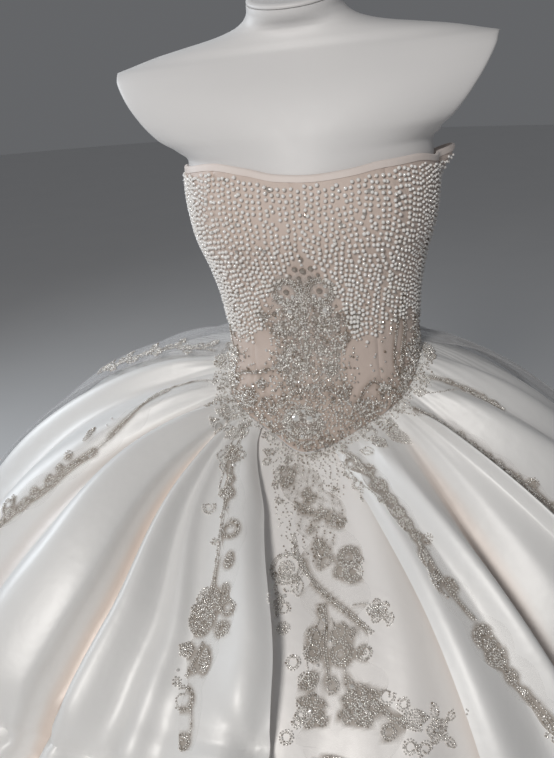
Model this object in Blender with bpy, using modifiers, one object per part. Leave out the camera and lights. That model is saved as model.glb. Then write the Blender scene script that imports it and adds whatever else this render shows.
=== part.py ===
"""Strapless ball-skirted wedding dress on a limbless white dress form with a round base.

Metres, +Z up, the front faces -Y, the origin is the centre of the base on the floor.
An angle round the body is 0 at the front and grows towards +X. On the skirt, s is 0 at
the waist seam and 1 at the hem, and each side is measured from the front to the back.
"""
import math
from functools import lru_cache

import bmesh
import bpy
import numpy as np

# Driving dimensions
WAIST_Z = 1.04
TORSO_LEAN = math.radians(3.2)
HEM_BELOW_WAIST = 0.57
HEM_RADIUS = 0.575
HEM_RADIUS_LEAN = 0.045
HEM_SLOPE = math.radians(82)
# The skirt's start at the waist seam, and its slope there in degrees: steeper on the right,
# and steeper at the front and back than at the sides
SKIRT_START_OUT = 0.0030
SKIRT_START_DROP = 0.0014
START_SLOPE = 17
START_SLOPE_RIGHT = 8
START_SLOPE_FRONT = 3
# How far the bell keeps its slope at either end, as a share of its reach
START_PULL = 0.40
HEM_PULL = 0.36
SEAM_GAP = 0.0003
BODICE_CLEARANCE = 0.0015
BODICE_WALL = 0.002
SATIN_WALL = 0.0015
TULLE_WALL = 0.001
APPLIQUE_WALL = 0.0012
BINDING_DEPTH = 0.006
BINDING_WALL = 0.0026

# The form, without shoulders: a smooth torso from the hip to the upper chest
BODY_COLUMNS = ("height", "half_width", "front", "back")
BODY_ROWS = [
    (-0.300, 0.142, 0.094, 0.106),
    (-0.200, 0.166, 0.106, 0.125),
    (-0.120, 0.156, 0.104, 0.112),
    (-0.060, 0.131, 0.097, 0.092),
    (-0.020, 0.122, 0.090, 0.083),
    (0.010, 0.121, 0.088, 0.080),
    (0.050, 0.124, 0.091, 0.083),
    (0.090, 0.132, 0.098, 0.090),
    (0.145, 0.147, 0.111, 0.097),
    (0.190, 0.151, 0.109, 0.100),
    (0.230, 0.150, 0.100, 0.100),
]

# The shoulders and neck, by height, half width, depth to the front and to the back, and the
# half width at which a slanted flat cut ends the section
SHOULDER_ROWS = [
    (0.210, 0.1495, 0.104, 0.099, 0.300),
    (0.228, 0.1490, 0.099, 0.098, 0.300),
    (0.240, 0.164, 0.096, 0.097, 0.158),
    (0.256, 0.200, 0.092, 0.095, 0.173),
    (0.278, 0.230, 0.085, 0.091, 0.191),
    (0.305, 0.247, 0.074, 0.083, 0.210),
    (0.326, 0.245, 0.062, 0.072, 0.224),
    (0.336, 0.234, 0.055, 0.064, 0.2295),
    (0.341, 0.208, 0.052, 0.060, 0.300),
    (0.347, 0.172, 0.050, 0.057, 0.300),
    (0.353, 0.138, 0.048, 0.055, 0.300),
    (0.358, 0.108, 0.047, 0.053, 0.300),
    (0.363, 0.086, 0.046, 0.052, 0.300),
    (0.369, 0.069, 0.046, 0.051, 0.300),
    (0.376, 0.059, 0.047, 0.050, 0.300),
    (0.384, 0.054, 0.048, 0.049, 0.300),
    (0.392, 0.053, 0.049, 0.049, 0.300),
]
NECK_TILT_FROM = 0.355
NECK_TOP = 0.392
NECK_TILT = 0.28
NECK_FORWARD = 0.014
# The cap's rounded edge, by inset from the neck and height over its underside
NECK_CAP_PROFILE = ((0.002, 0.0), (0.0, 0.0012), (0.0, 0.0036), (0.003, 0.005))
FORM_SEGMENTS = 36
TORSO_LEVELS = 17

# Stand
POLE_RADIUS = 0.014
BASE_RADIUS = 0.17
BASE_THICKNESS = 0.008
BASE_RIM = 0.002
FLANGE_RADIUS = 0.045
FLANGE_THICKNESS = 0.008
FORM_BOTTOM = -0.300

# Bodice: heights above the waist of its two edges
EDGE_COLUMNS = ("angle", "height")
NECKLINE_ROWS = [
    (-180, 0.165), (-130, 0.182), (-90, 0.221), (-64, 0.224), (-40, 0.229), (-22, 0.223),
    (-8, 0.215), (8, 0.212), (22, 0.214), (38, 0.218), (56, 0.218), (84, 0.210), (108, 0.214),
    (135, 0.182), (180, 0.165),
]
WAIST_SEAM_ROWS = [
    (-180, -0.030), (-105, -0.034), (-78, -0.048), (-58, -0.076), (-40, -0.092), (-22, -0.110),
    (-6, -0.134), (8, -0.121), (22, -0.101), (34, -0.088), (48, -0.074), (64, -0.056),
    (80, -0.036), (105, -0.030), (180, -0.030),
]
# Each panel's two seams in degrees and its mesh columns; the centre front seam runs a
# little to the left of the waist
PANEL_ROWS = [
    ("back_left", -179.6, -138, 5),
    ("side_back_left", -138, -90, 6),
    ("side_front_left", -90, -40, 7),
    ("centre_front_left", -40, -2, 6),
    ("centre_front_right", -2, 38, 6),
    ("side_front_right", 38, 90, 7),
    ("side_back_right", 90, 138, 8),
    ("back_right", 138, 179.6, 5),
]
BODICE_LEVELS = 9
CUP_ANGLE = math.radians(37)
CUP_HEIGHT = 0.150
CUP_DEPTH = 0.009
CUP_SPREAD = math.radians(24)
CUP_TALL = 0.055
# The top of the right side-back panel stands away from the form
GAPE_ANGLE = math.radians(108)
GAPE_SPREAD = math.radians(18)
GAPE_DEPTH = 0.028
GAPE_FROM = 0.165
GAPE_OVER = 0.048

# Skirt folds, from the front edge round to the back of each side: the name, the mesh steps
# to the next line, four angles and three rises. Angles are in degrees at the waist, a seventh
# of the way down, two fifths of the way down and at the hem. Rises are in metres above the
# plain bell near the waist, a third of the way down and at the hem.
LEFT_FOLDS = [
    ("front_edge", 2, 27, 9.5, 1.5, 0, 0.004, 0.014, 0.014),
    ("front_roll", 2, 30, 14, 5, 6, 0.014, 0.030, 0.036),
    ("inner_valley", 1, 34, 23, 13, 15, 0.001, 0.003, -0.004),
    ("small_ridge", 1, 36, 26, 16, 20, 0.005, 0.010, 0.018),
    ("small_valley", 1, 37.5, 28, 19, 25, 0.003, 0.002, 0.000),
    ("bright_ridge", 2, 39, 31, 24, 30, 0.012, 0.026, 0.036),
    ("deep_valley", 1, 42, 35.5, 28.5, 35, -0.010, -0.018, -0.014),
    ("great_lip", 2, 43, 38, 31.5, 38, 0.006, 0.020, 0.024),
    ("great_roll", 3, 50, 47, 40, 47, 0.024, 0.046, 0.052),
    ("garland_valley", 2, 58, 57, 54, 60, -0.006, -0.010, -0.010),
    ("garland_ridge", 2, 65, 65, 65, 69, 0.010, 0.014, 0.024),
    ("side_valley", 2, 73, 76, 77, 79, -0.004, -0.006, -0.008),
    ("side_ridge", 2, 82, 84, 85, 89, 0.014, 0.020, 0.032),
    ("valley_1", 2, 93, 94, 95, 100, -0.004, -0.006, -0.012),
    ("ridge_1", 2, 104, 105, 106, 111, 0.004, 0.006, 0.036),
    ("valley_2", 2, 115, 116, 117, 121, -0.005, -0.008, -0.010),
    ("ridge_2", 2, 127, 127, 128, 132, 0.004, 0.006, 0.034),
    ("valley_3", 2, 138, 138, 139, 143, -0.005, -0.008, -0.014),
    ("ridge_3", 2, 149, 149, 150, 153, 0.004, 0.006, 0.036),
    ("valley_4", 2, 160, 160, 160, 162, -0.005, -0.008, -0.010),
    ("ridge_4", 2, 170, 170, 170, 171, 0.004, 0.006, 0.030),
    ("centre_back", 1, 180, 180, 180, 180, -0.004, -0.006, -0.010),
]
RIGHT_FOLDS = [
    ("front_edge", 1, 8, 15.5, 20.5, 26, 0.004, 0.014, 0.014),
    ("front_lip", 1, 12, 18, 23, 30, 0.012, 0.022, 0.030),
    ("garland_trough", 2, 17, 22, 28, 36, 0.006, 0.014, 0.014),
    ("inner_ridge", 2, 23, 27, 32.5, 43, 0.016, 0.032, 0.044),
    ("deep_valley", 2, 37, 35, 36.5, 49, -0.010, -0.016, -0.016),
    ("great_roll", 2, 42, 43, 43, 57, 0.018, 0.038, 0.050),
    ("great_edge", 2, 46, 48, 52, 65, 0.024, 0.036, 0.042),
    ("garland_valley", 2, 53, 56, 60, 73, -0.005, -0.008, -0.010),
    ("side_ridge", 2, 61, 68, 73, 83, 0.014, 0.024, 0.036),
    ("side_valley", 2, 70, 76, 82, 92, -0.002, -0.004, -0.008),
    ("rear_ridge", 2, 80, 86, 91, 101, 0.010, 0.016, 0.036),
    ("valley_1", 2, 91, 96, 100, 110, -0.004, -0.006, -0.012),
    ("ridge_1", 2, 102, 106, 109, 119, 0.004, 0.006, 0.036),
    ("valley_2", 2, 113, 116, 119, 128, -0.005, -0.008, -0.010),
    ("ridge_2", 2, 125, 127, 129, 137, 0.004, 0.006, 0.032),
    ("valley_3", 2, 137, 138, 140, 147, -0.005, -0.008, -0.014),
    ("ridge_3", 2, 148, 149, 150, 156, 0.004, 0.006, 0.036),
    ("valley_4", 2, 159, 160, 160, 164, -0.005, -0.008, -0.010),
    ("ridge_4", 2, 169, 170, 170, 172, 0.004, 0.006, 0.032),
    ("centre_back", 1, 180, 180, 180, 180, -0.004, -0.006, -0.010),
]
ANGLE_STATIONS = (0.0, 0.15, 0.40, 1.0)
RISE_STATIONS = (0.0, 0.10, 0.35, 1.0)
# Where the satin is caught up, the fold is drawn in: side, angle in degrees, s and depth
PICK_UP_ROWS = [
    ("left", 3, 0.53, 0.022),
    ("left", 34, 0.62, 0.028),
    ("right", 44, 0.66, 0.026),
    ("left", 84, 0.62, 0.020),
    ("right", 80, 0.64, 0.022),
    ("left", 128, 0.62, 0.018),
    ("right", 129, 0.64, 0.018),
    ("left", 169, 0.62, 0.016),
]
PICK_UP_REACH = 0.035
# The bell's rough radius at the waist, how it grows with s, and its length along s
BELL_WAIST_RADIUS = 0.12
BELL_SPREAD = 0.45
BELL_LENGTH = 0.75
SKIRT_LEVELS = [0, 0.03, 0.07, 0.12, 0.19, 0.27, 0.36, 0.45, 0.54, 0.63, 0.74, 0.87, 1.0]
# Gores: the name, the side and the two folds that the seams lie in
GORE_ROWS = [
    ("left_front", "left", "front_edge", "deep_valley"),
    ("left_side", "left", "deep_valley", "side_valley"),
    ("left_back", "left", "side_valley", "centre_back"),
    ("right_front", "right", "front_edge", "deep_valley"),
    ("right_side", "right", "deep_valley", "side_valley"),
    ("right_back", "right", "side_valley", "centre_back"),
]
# The centre panel lies under both front edges
CENTRE_UNDERLAP = math.radians(3)
CENTRE_COLUMNS = 8
CENTRE_SET_BACK = 0.0022
CENTRE_DEPTH = 0.016
CENTRE_WAVE = 0.004
TULLE_FROM = {"left": math.radians(88), "right": math.radians(106)}
TULLE_LEVELS = [0.010, 0.05, 0.12, 0.22, 0.34, 0.48, 0.62, 0.76, 0.90, 0.985]
TULLE_COLUMNS = 12
TULLE_LIFT = 0.0013
TULLE_RISE = 0.013
TULLE_FLARE = 0.032
TULLE_WAVE = 0.006

# Appliques on the skirt: a path of (angle, s) points and half widths in metres
SKIRT_APPLIQUES = {
    "left_outer": ("left", [(67, 0.035, 0.008), (69, 0.10, 0.011), (64, 0.16, 0.016), (61, 0.23, 0.014),
                            (61, 0.31, 0.015), (62, 0.40, 0.019), (63, 0.48, 0.010)], 7),
    "left_inner": ("left", [(28, 0.06, 0.007), (20, 0.12, 0.012), (14, 0.19, 0.014), (12, 0.26, 0.014),
                            (11.5, 0.34, 0.026), (11, 0.42, 0.014), (10, 0.52, 0.012)], 7),
    "right_inner": ("right", [(13, 0.035, 0.010), (18, 0.09, 0.013), (21, 0.16, 0.012), (23, 0.25, 0.012),
                              (25, 0.33, 0.018), (28, 0.42, 0.022), (31, 0.50, 0.014), (34, 0.58, 0.008)], 8),
    "right_outer": ("right", [(48, 0.03, 0.009), (52, 0.08, 0.012), (55, 0.14, 0.013), (57, 0.21, 0.012),
                              (59, 0.28, 0.012), (61, 0.36, 0.009)], 6),
    "right_side": ("right", [(69, 0.025, 0.006), (73, 0.07, 0.008), (75, 0.12, 0.008), (76, 0.17, 0.005)], 4),
}
CENTRE_CASCADE = [(-9, 0.03, 0.020), (1, 0.10, 0.030), (5, 0.18, 0.036), (6, 0.26, 0.040), (6, 0.34, 0.036),
                  (5, 0.42, 0.042), (5, 0.50, 0.044), (5, 0.57, 0.024)]
CENTRE_SCALLOPS = 8
# Scalloped ovals on the bodice: the name, the angle and height of the centre, the half
# width and half height, and the number of scallops
OVAL_ROWS = [
    ("bodice_crest", -3, 0.022, 0.043, 0.084, 9),
    ("waist_medallion", -7, -0.094, 0.024, 0.020, 8),
]
OVAL_SIDES = 36
# How far the panel's own cells reach past an applique, in fold lines and in s
MARGIN_LINES = 1.6
MARGIN_ABOVE = 0.06
MARGIN_BELOW = 0.11
OVAL_SCALLOP = 0.07

# Closure at the centre back
PLACKET_HALF_WIDTH = 0.007
PLACKET_WALL = 0.001
PLACKET_MIDDLE = 0.09
BUTTON_COUNT = 9
BUTTON_RADIUS = 0.0055
BUTTON_HEIGHT = 0.0032

# Small differences for normals on plain surfaces, and on folded ones along lines and s
SURFACE_STEPS = (0.004, 0.004)
FOLD_STEPS = (0.02, 0.003)
# A point inside the dress, from which its walls face away
INNER_POINT = np.array([0.0, 0.0, WAIST_Z - 0.25])

COLOURS = {
    "form": (0.86, 0.86, 0.87, 0.42, 0.0),
    "metal": (0.70, 0.71, 0.72, 0.30, 1.0),
    "bodice": (0.80, 0.72, 0.67, 0.55, 0.0),
    "binding": (0.84, 0.76, 0.72, 0.40, 0.0),
    "satin": (0.88, 0.87, 0.84, 0.32, 0.0),
    "blush_satin": (0.80, 0.71, 0.65, 0.35, 0.0),
    "tulle": (0.70, 0.71, 0.73, 0.70, 0.0),
    "applique": (0.66, 0.62, 0.57, 0.35, 0.3),
}


def column(rows, columns, name):
    """One named column of a table, as an array."""
    return np.array([row[columns.index(name)] for row in rows], float)


def smooth(t):
    """A soft step from 0 to 1."""
    t = min(1.0, max(0.0, t))
    return t * t * (3 - 2 * t)


def curve_through(xs, ys, x):
    """A smooth curve through the rows of a table, with no overshoot between them."""
    x = min(max(x, xs[0]), xs[-1])
    i = min(int(np.searchsorted(xs, x, side="right")) - 1, len(xs) - 2)
    width = xs[i + 1] - xs[i]
    slopes = []
    for k in (i, i + 1):
        if k in (0, len(xs) - 1):
            slopes.append((ys[i + 1] - ys[i]) / width)
            continue
        before = (ys[k] - ys[k - 1]) / (xs[k] - xs[k - 1])
        after = (ys[k + 1] - ys[k]) / (xs[k + 1] - xs[k])
        slopes.append(0.0 if before * after <= 0 else 2 * before * after / (before + after))
    t = (x - xs[i]) / width
    rise = (1 + 2 * t) * (1 - t) ** 2 * ys[i] + t * t * (3 - 2 * t) * ys[i + 1]
    return rise + width * (t * (1 - t) ** 2 * slopes[0] - t * t * (1 - t) * slopes[1])


def lean(point):
    """Lean everything above the hips a little to the left, as the torso stands."""
    x, y, z = point
    height = z - WAIST_Z
    angle = TORSO_LEAN * smooth((height + 0.12) / 0.16)
    return np.array([
        x * math.cos(angle) - height * math.sin(angle),
        y,
        WAIST_Z + x * math.sin(angle) + height * math.cos(angle),
    ])


BODY_HEIGHTS = column(BODY_ROWS, BODY_COLUMNS, "height")
BODY_SIZES = [column(BODY_ROWS, BODY_COLUMNS, name) for name in ("half_width", "front", "back")]


@lru_cache(maxsize=None)
def body_sizes(height):
    """Half width, front depth and back depth of the torso at a height above the waist."""
    return tuple(curve_through(BODY_HEIGHTS, sizes, height) for sizes in BODY_SIZES)


def body_point(angle, height, out=0.0):
    """A point on the torso, moved out from it."""
    half_width, front, back = body_sizes(round(height, 5))
    depth = front if math.cos(angle) > 0 else back
    x = (half_width + out) * math.sin(angle)
    y = -(depth + out) * math.cos(angle)
    return lean((x, y, WAIST_Z + height))


NECKLINE = [column(NECKLINE_ROWS, EDGE_COLUMNS, name) for name in EDGE_COLUMNS]
WAIST_SEAM = [column(WAIST_SEAM_ROWS, EDGE_COLUMNS, name) for name in EDGE_COLUMNS]


def full_turn(angle):
    """An angle in degrees between -180 and 180."""
    return (math.degrees(angle) + 180) % 360 - 180


def neckline(angle):
    return curve_through(*NECKLINE, full_turn(angle))


def waist_seam(angle):
    return curve_through(*WAIST_SEAM, full_turn(angle))


def bodice_point(angle, height, out=0.0):
    """The inner face of the bodice, with its cups and the part that stands away."""
    cup = 0.0
    for side in (-1, 1):
        across = (angle - side * CUP_ANGLE) / CUP_SPREAD
        up = (height - CUP_HEIGHT) / CUP_TALL
        cup += CUP_DEPTH * math.exp(-across * across - up * up)
    away = max(0.0, 1 - abs(angle - GAPE_ANGLE) / GAPE_SPREAD)
    gape = GAPE_DEPTH * smooth(away) * smooth((height - GAPE_FROM) / GAPE_OVER)
    return body_point(angle, height, BODICE_CLEARANCE + cup + gape + out)


def normal_at(surface, u, v, step_u, step_v):
    """The unit normal of a surface, and its unit tangent along u, by small differences."""
    along_u = surface(u + step_u, v) - surface(u - step_u, v)
    along_v = surface(u, v + step_v) - surface(u, v - step_v)
    normal = np.cross(along_u, along_v)
    return normal / np.linalg.norm(normal), along_u / np.linalg.norm(along_u)


def bezier(p0, p1, p2, p3, t):
    """A cubic curve."""
    return (1 - t) ** 3 * p0 + 3 * (1 - t) ** 2 * t * p1 + 3 * (1 - t) * t * t * p2 + t ** 3 * p3


def leave_slope(angle):
    """How far below level the skirt leaves the waist: it is fuller on the left."""
    right = START_SLOPE_RIGHT * math.sin(angle)
    front = START_SLOPE_FRONT * math.cos(2 * angle)
    return math.radians(START_SLOPE + right + front)


def bell_point(angle, s):
    """The plain bell of the skirt, without its folds."""
    start = body_point(angle, waist_seam(angle) - SKIRT_START_DROP, SKIRT_START_OUT)
    radius = math.hypot(start[0], start[1])
    hem_radius = HEM_RADIUS - HEM_RADIUS_LEAN * math.sin(angle)
    p0 = np.array([radius, start[2]])
    p3 = np.array([hem_radius, WAIST_Z - HEM_BELOW_WAIST])
    reach = np.linalg.norm(p3 - p0)
    leaving = leave_slope(angle)
    p1 = p0 + START_PULL * reach * np.array([math.cos(leaving), -math.sin(leaving)])
    p2 = p3 + HEM_PULL * reach * np.array([-math.cos(HEM_SLOPE), math.sin(HEM_SLOPE)])
    r, z = bezier(p0, p1, p2, p3, s)
    start_angle = math.atan2(start[0], -start[1])
    turn = (angle - start_angle + math.pi) % (2 * math.pi) - math.pi
    heading = start_angle + turn * s
    return np.array([r * math.sin(heading), -r * math.cos(heading), z])


@lru_cache(maxsize=None)
def bell_normal(angle, s):
    """The outward normal of the plain bell."""
    level = max(s, 0.004)
    normal, _ = normal_at(bell_point, angle, level, 0.01, 0.004)
    point = bell_point(angle, level)
    outward_part = (normal[0] * point[0] + normal[1] * point[1]) / math.hypot(point[0], point[1])
    return normal if outward_part + normal[2] > 0 else -normal


FOLDS = {"left": LEFT_FOLDS, "right": RIGHT_FOLDS}
SIDE_SIGN = {"left": -1, "right": 1}


@lru_cache(maxsize=None)
def fold_lines(side, s):
    """The angle and the rise of every fold line of one side, at one level."""
    rows = FOLDS[side]
    angles = []
    rises = []
    for row in rows:
        angles.append(curve_through(ANGLE_STATIONS, row[2:6], s))
        rises.append(curve_through(RISE_STATIONS, (0.0,) + row[6:9], s))
    return np.radians(angles), np.array(rises)


def pick_up_pull(side, angle, s):
    """How far the catches draw the satin in."""
    pull = 0.0
    for row_side, at_angle, at_s, depth in PICK_UP_ROWS:
        if row_side != side:
            continue
        radius = BELL_WAIST_RADIUS + BELL_SPREAD * at_s
        across = (angle - math.radians(at_angle)) * radius / PICK_UP_REACH
        along = (s - at_s) * BELL_LENGTH / PICK_UP_REACH
        pull += depth * math.exp(-across * across - along * along)
    return pull


def fold_at(side, u, s):
    """The angle round the bell and the rise above it, where u counts fold lines from the front."""
    angles, rises = fold_lines(side, round(s, 5))
    lines = np.arange(len(angles))
    angle = curve_through(lines, angles, u)
    rise = curve_through(lines, rises, u) - pick_up_pull(side, angle, s)
    return SIDE_SIGN[side] * angle, rise


def skirt_point(side, u, s):
    """A point of the folded skirt."""
    s = max(s, 0.0)
    turned, rise = fold_at(side, u, s)
    return bell_point(turned, s) + bell_normal(round(turned, 6), round(s, 6)) * rise


def centre_edges(s):
    """The angles of the two front edges of the side gores."""
    left = fold_lines("left", round(s, 5))[0][0]
    right = fold_lines("right", round(s, 5))[0][0]
    return -left, right


def centre_angle(t, s):
    """The angle across the centre panel, from under one front edge to under the other."""
    left, right = centre_edges(s)
    return left - CENTRE_UNDERLAP + (right - left + 2 * CENTRE_UNDERLAP) * t


def centre_point(t, s):
    """The centre panel, from under the left edge at t 0 to under the right edge at t 1."""
    s = max(s, 0.0)
    angle = centre_angle(t, s)
    depth = CENTRE_SET_BACK + CENTRE_DEPTH * smooth(s / 0.25)
    wave = CENTRE_WAVE * smooth(s / 0.3) * math.sin(3 * math.pi * t + 4 * s)
    place = bell_normal(round(angle, 6), round(s, 6)) * (wave - depth)
    return bell_point(angle, s) + place


def tulle_point(side, t, s):
    """The sheer layer that hangs over the back half of each side."""
    start = TULLE_FROM[side]
    angle = start + (math.pi - start) * t
    turned = SIDE_SIGN[side] * angle
    rise = TULLE_LIFT + TULLE_RISE * smooth(s / 0.12) + TULLE_FLARE * smooth((s - 0.3) / 0.7)
    wave = TULLE_WAVE * smooth(s / 0.3) * math.cos(10 * math.pi * t)
    return bell_point(turned, s) + bell_normal(round(turned, 6), round(s, 6)) * (rise + wave)


def make_collection(name):
    collection = bpy.data.collections.new(name)
    bpy.context.scene.collection.children.link(collection)
    return collection


def make_material(name):
    red, green, blue, roughness, metallic = COLOURS[name]
    material = bpy.data.materials.new(name)
    material.use_nodes = True
    shader = material.node_tree.nodes["Principled BSDF"]
    shader.inputs["Base Color"].default_value = (red, green, blue, 1)
    shader.inputs["Roughness"].default_value = roughness
    shader.inputs["Metallic"].default_value = metallic
    return material


def add_mesh(name, vertices, faces, material, collection):
    """A new object from vertices and faces, shaded smooth with sharp rims."""
    mesh = bpy.data.meshes.new(name)
    mesh.from_pydata([tuple(v) for v in vertices], [], faces)
    mesh.update()
    mesh.shade_smooth()
    mesh.set_sharp_from_angle(angle=math.radians(50))
    obj = bpy.data.objects.new(name, mesh)
    obj.data.materials.append(material)
    collection.objects.link(obj)
    return obj


def adopt(obj, name, material, collection):
    """Name a primitive, give it its material and move it to the collection."""
    obj.name = name
    obj.data.name = name
    obj.data.materials.append(material)
    for other in list(obj.users_collection):
        other.objects.unlink(obj)
    collection.objects.link(obj)
    return obj


def grid_of(surface, us, vs, steps, edge_gap=SEAM_GAP / 2):
    """Points and normals of a surface on a grid, its first and last columns drawn in."""
    points = np.zeros((len(us), len(vs), 3))
    normals = np.zeros((len(us), len(vs), 3))
    for i, u in enumerate(us):
        for j, v in enumerate(vs):
            normal, tangent = normal_at(surface, u, v, *steps)
            points[i, j] = surface(u, v)
            normals[i, j] = normal
            if i == 0:
                points[i, j] += tangent * edge_gap
            if i == len(us) - 1:
                points[i, j] -= tangent * edge_gap
    return points, normals


def wall_from(points, normals, below, above):
    """Vertices and faces of a closed wall between two offsets from a grid."""
    columns, levels = points.shape[:2]
    count = columns * levels
    low = (points + normals * below).reshape(-1, 3)
    high = (points + normals * above).reshape(-1, 3)
    vertices = np.concatenate([low, high])

    def at(i, j, layer):
        return layer * count + i * levels + j

    faces = []
    for i in range(columns - 1):
        for j in range(levels - 1):
            faces.append((at(i, j, 1), at(i + 1, j, 1), at(i + 1, j + 1, 1)))
            faces.append((at(i, j, 1), at(i + 1, j + 1, 1), at(i, j + 1, 1)))
            faces.append((at(i, j, 0), at(i + 1, j + 1, 0), at(i + 1, j, 0)))
            faces.append((at(i, j, 0), at(i, j + 1, 0), at(i + 1, j + 1, 0)))
    for j in range(levels - 1):
        faces.append((at(0, j, 0), at(0, j, 1), at(0, j + 1, 1), at(0, j + 1, 0)))
        last = columns - 1
        faces.append((at(last, j, 0), at(last, j + 1, 0), at(last, j + 1, 1), at(last, j, 1)))
    for i in range(columns - 1):
        faces.append((at(i, 0, 0), at(i + 1, 0, 0), at(i + 1, 0, 1), at(i, 0, 1)))
        top = levels - 1
        faces.append((at(i, top, 0), at(i, top, 1), at(i + 1, top, 1), at(i + 1, top, 0)))
    return vertices, faces


def outward(points, normals, centre):
    """Turn a grid's normals and order so that they point away from an inner point."""
    if np.sum(normals * (points - centre)) < 0:
        return points[::-1], -normals[::-1]
    return points, normals


def add_wall(name, grid, below, above, material, collection):
    """A wall node from a grid of points and normals."""
    points, normals = outward(*grid, INNER_POINT)
    vertices, faces = wall_from(points, normals, below, above)
    return add_mesh(name, vertices, faces, material, collection)


def ring(half_width, front, back, cut, height):
    """One level section of the form, flattened where a shoulder cut ends it."""
    raised = smooth((height - NECK_TILT_FROM) / (NECK_TOP - NECK_TILT_FROM))
    points = []
    for k in range(FORM_SEGMENTS):
        angle = 2 * math.pi * k / FORM_SEGMENTS
        depth = front if math.cos(angle) > 0 else back
        x = min(cut, max(-cut, half_width * math.sin(angle)))
        y = -depth * math.cos(angle)
        points.append(lean((x, y - NECK_FORWARD * raised, WAIST_Z + height + NECK_TILT * raised * y)))
    return points


def loft(rings):
    """Faces between rings, closed at both ends."""
    count = len(rings[0])
    faces = [tuple(reversed(range(count)))]
    for level in range(len(rings) - 1):
        for k in range(count):
            a = level * count + k
            b = level * count + (k + 1) % count
            faces.append((a, b, b + count, a + count))
    last = (len(rings) - 1) * count
    faces.append(tuple(last + k for k in range(count)))
    return faces


def build_form(materials, collection):
    """The torso in one piece with its flat shoulder cuts and neck, and the cap on the neck."""
    rings = []
    torso_heights = np.linspace(FORM_BOTTOM, 0.190, TORSO_LEVELS)
    for height in torso_heights:
        half_width, front, back = body_sizes(round(float(height), 5))
        rings.append(ring(half_width, front, back, 1.0, height))
    for height, half_width, front, back, cut in SHOULDER_ROWS:
        rings.append(ring(half_width, front, back, cut, height))
    vertices = [point for section in rings for point in section]
    add_mesh("form_torso", vertices, loft(rings), materials["form"], collection)

    top = SHOULDER_ROWS[-1]
    cap_rings = []
    for inset, rise in NECK_CAP_PROFILE:
        section = ring(top[1] - inset, top[2] - inset, top[3] - inset, top[4], top[0])
        cap_rings.append([p + np.array([0, 0, SEAM_GAP + rise]) for p in section])
    cap_vertices = [point for section in cap_rings for point in section]
    add_mesh("neck_cap", cap_vertices, loft(cap_rings), materials["form"], collection)


def build_stand(materials, collection):
    """Round base plate on the floor, the pole and the flange that carries the form."""
    bpy.ops.mesh.primitive_cylinder_add(
        vertices=36, radius=BASE_RADIUS, depth=BASE_THICKNESS, location=(0, 0, BASE_THICKNESS / 2))
    base = adopt(bpy.context.object, "base_plate", materials["metal"], collection)
    bevel = base.modifiers.new("rounded_rim", "BEVEL")
    bevel.width = BASE_RIM
    bevel.segments = 1
    bevel.limit_method = "ANGLE"

    flange_top = WAIST_Z + FORM_BOTTOM - SEAM_GAP
    flange_bottom = flange_top - FLANGE_THICKNESS
    bpy.ops.mesh.primitive_cylinder_add(
        vertices=24, radius=FLANGE_RADIUS, depth=FLANGE_THICKNESS,
        location=(0, 0, (flange_top + flange_bottom) / 2))
    adopt(bpy.context.object, "form_flange", materials["metal"], collection)

    pole_bottom = BASE_THICKNESS + SEAM_GAP
    pole_top = flange_bottom - SEAM_GAP
    bpy.ops.mesh.primitive_cylinder_add(
        vertices=20, radius=POLE_RADIUS, depth=pole_top - pole_bottom,
        location=(0, 0, (pole_top + pole_bottom) / 2))
    adopt(bpy.context.object, "pole", materials["metal"], collection)


def bodice_surface(angle, t):
    """The bodice from its waist seam at t 0 to under the binding at t 1."""
    low = waist_seam(angle)
    high = neckline(angle) - BINDING_DEPTH - SEAM_GAP
    return bodice_point(angle, low + (high - low) * t)


def panel_angles(from_angle, to_angle, columns):
    return np.linspace(math.radians(from_angle), math.radians(to_angle), columns + 1)


def build_bodice(materials, collection):
    """Eight shaped panels, the binding along their top and the closure at the back."""
    levels = np.linspace(0, 1, BODICE_LEVELS)
    for name, from_angle, to_angle, columns in PANEL_ROWS:
        angles = panel_angles(from_angle, to_angle, columns)
        grid = grid_of(bodice_surface, angles, levels, SURFACE_STEPS)
        add_wall("bodice_" + name, grid, 0.0, BODICE_WALL, materials["bodice"], collection)

    def binding_surface(angle, t):
        return bodice_point(angle, neckline(angle) - BINDING_DEPTH * (1 - t))

    angles = []
    for _, from_angle, to_angle, columns in PANEL_ROWS:
        angles.extend(panel_angles(from_angle, to_angle, columns)[:-1])
    angles.append(math.radians(PANEL_ROWS[-1][2]))
    grid = grid_of(binding_surface, angles, (0.0, 1.0), SURFACE_STEPS)
    add_wall("neckline_binding", grid, -SEAM_GAP, BINDING_WALL - SEAM_GAP, materials["binding"], collection)

    def placket_surface(across, t):
        return bodice_surface(math.pi + across, t)

    half_angle = PLACKET_HALF_WIDTH / body_sizes(PLACKET_MIDDLE)[2]
    across = np.linspace(-half_angle, half_angle, 3)
    grid = grid_of(placket_surface, across, levels, SURFACE_STEPS)
    low = BODICE_WALL + SEAM_GAP
    add_wall("back_placket", grid, low, low + PLACKET_WALL, materials["binding"], collection)

    bottom = waist_seam(math.pi)
    spacing = (neckline(math.pi) - bottom) / BUTTON_COUNT
    for number in range(BUTTON_COUNT):
        out = low + PLACKET_WALL + BUTTON_HEIGHT + 2 * SEAM_GAP
        centre = bodice_point(math.pi, bottom + (number + 0.5) * spacing, out)
        bpy.ops.mesh.primitive_uv_sphere_add(segments=10, ring_count=5, radius=BUTTON_RADIUS)
        button = adopt(bpy.context.object, f"back_button_{number + 1}", materials["binding"], collection)
        button.data.shade_smooth()
        button.scale = (1, BUTTON_HEIGHT / BUTTON_RADIUS, 1)
        button.location = centre


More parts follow.
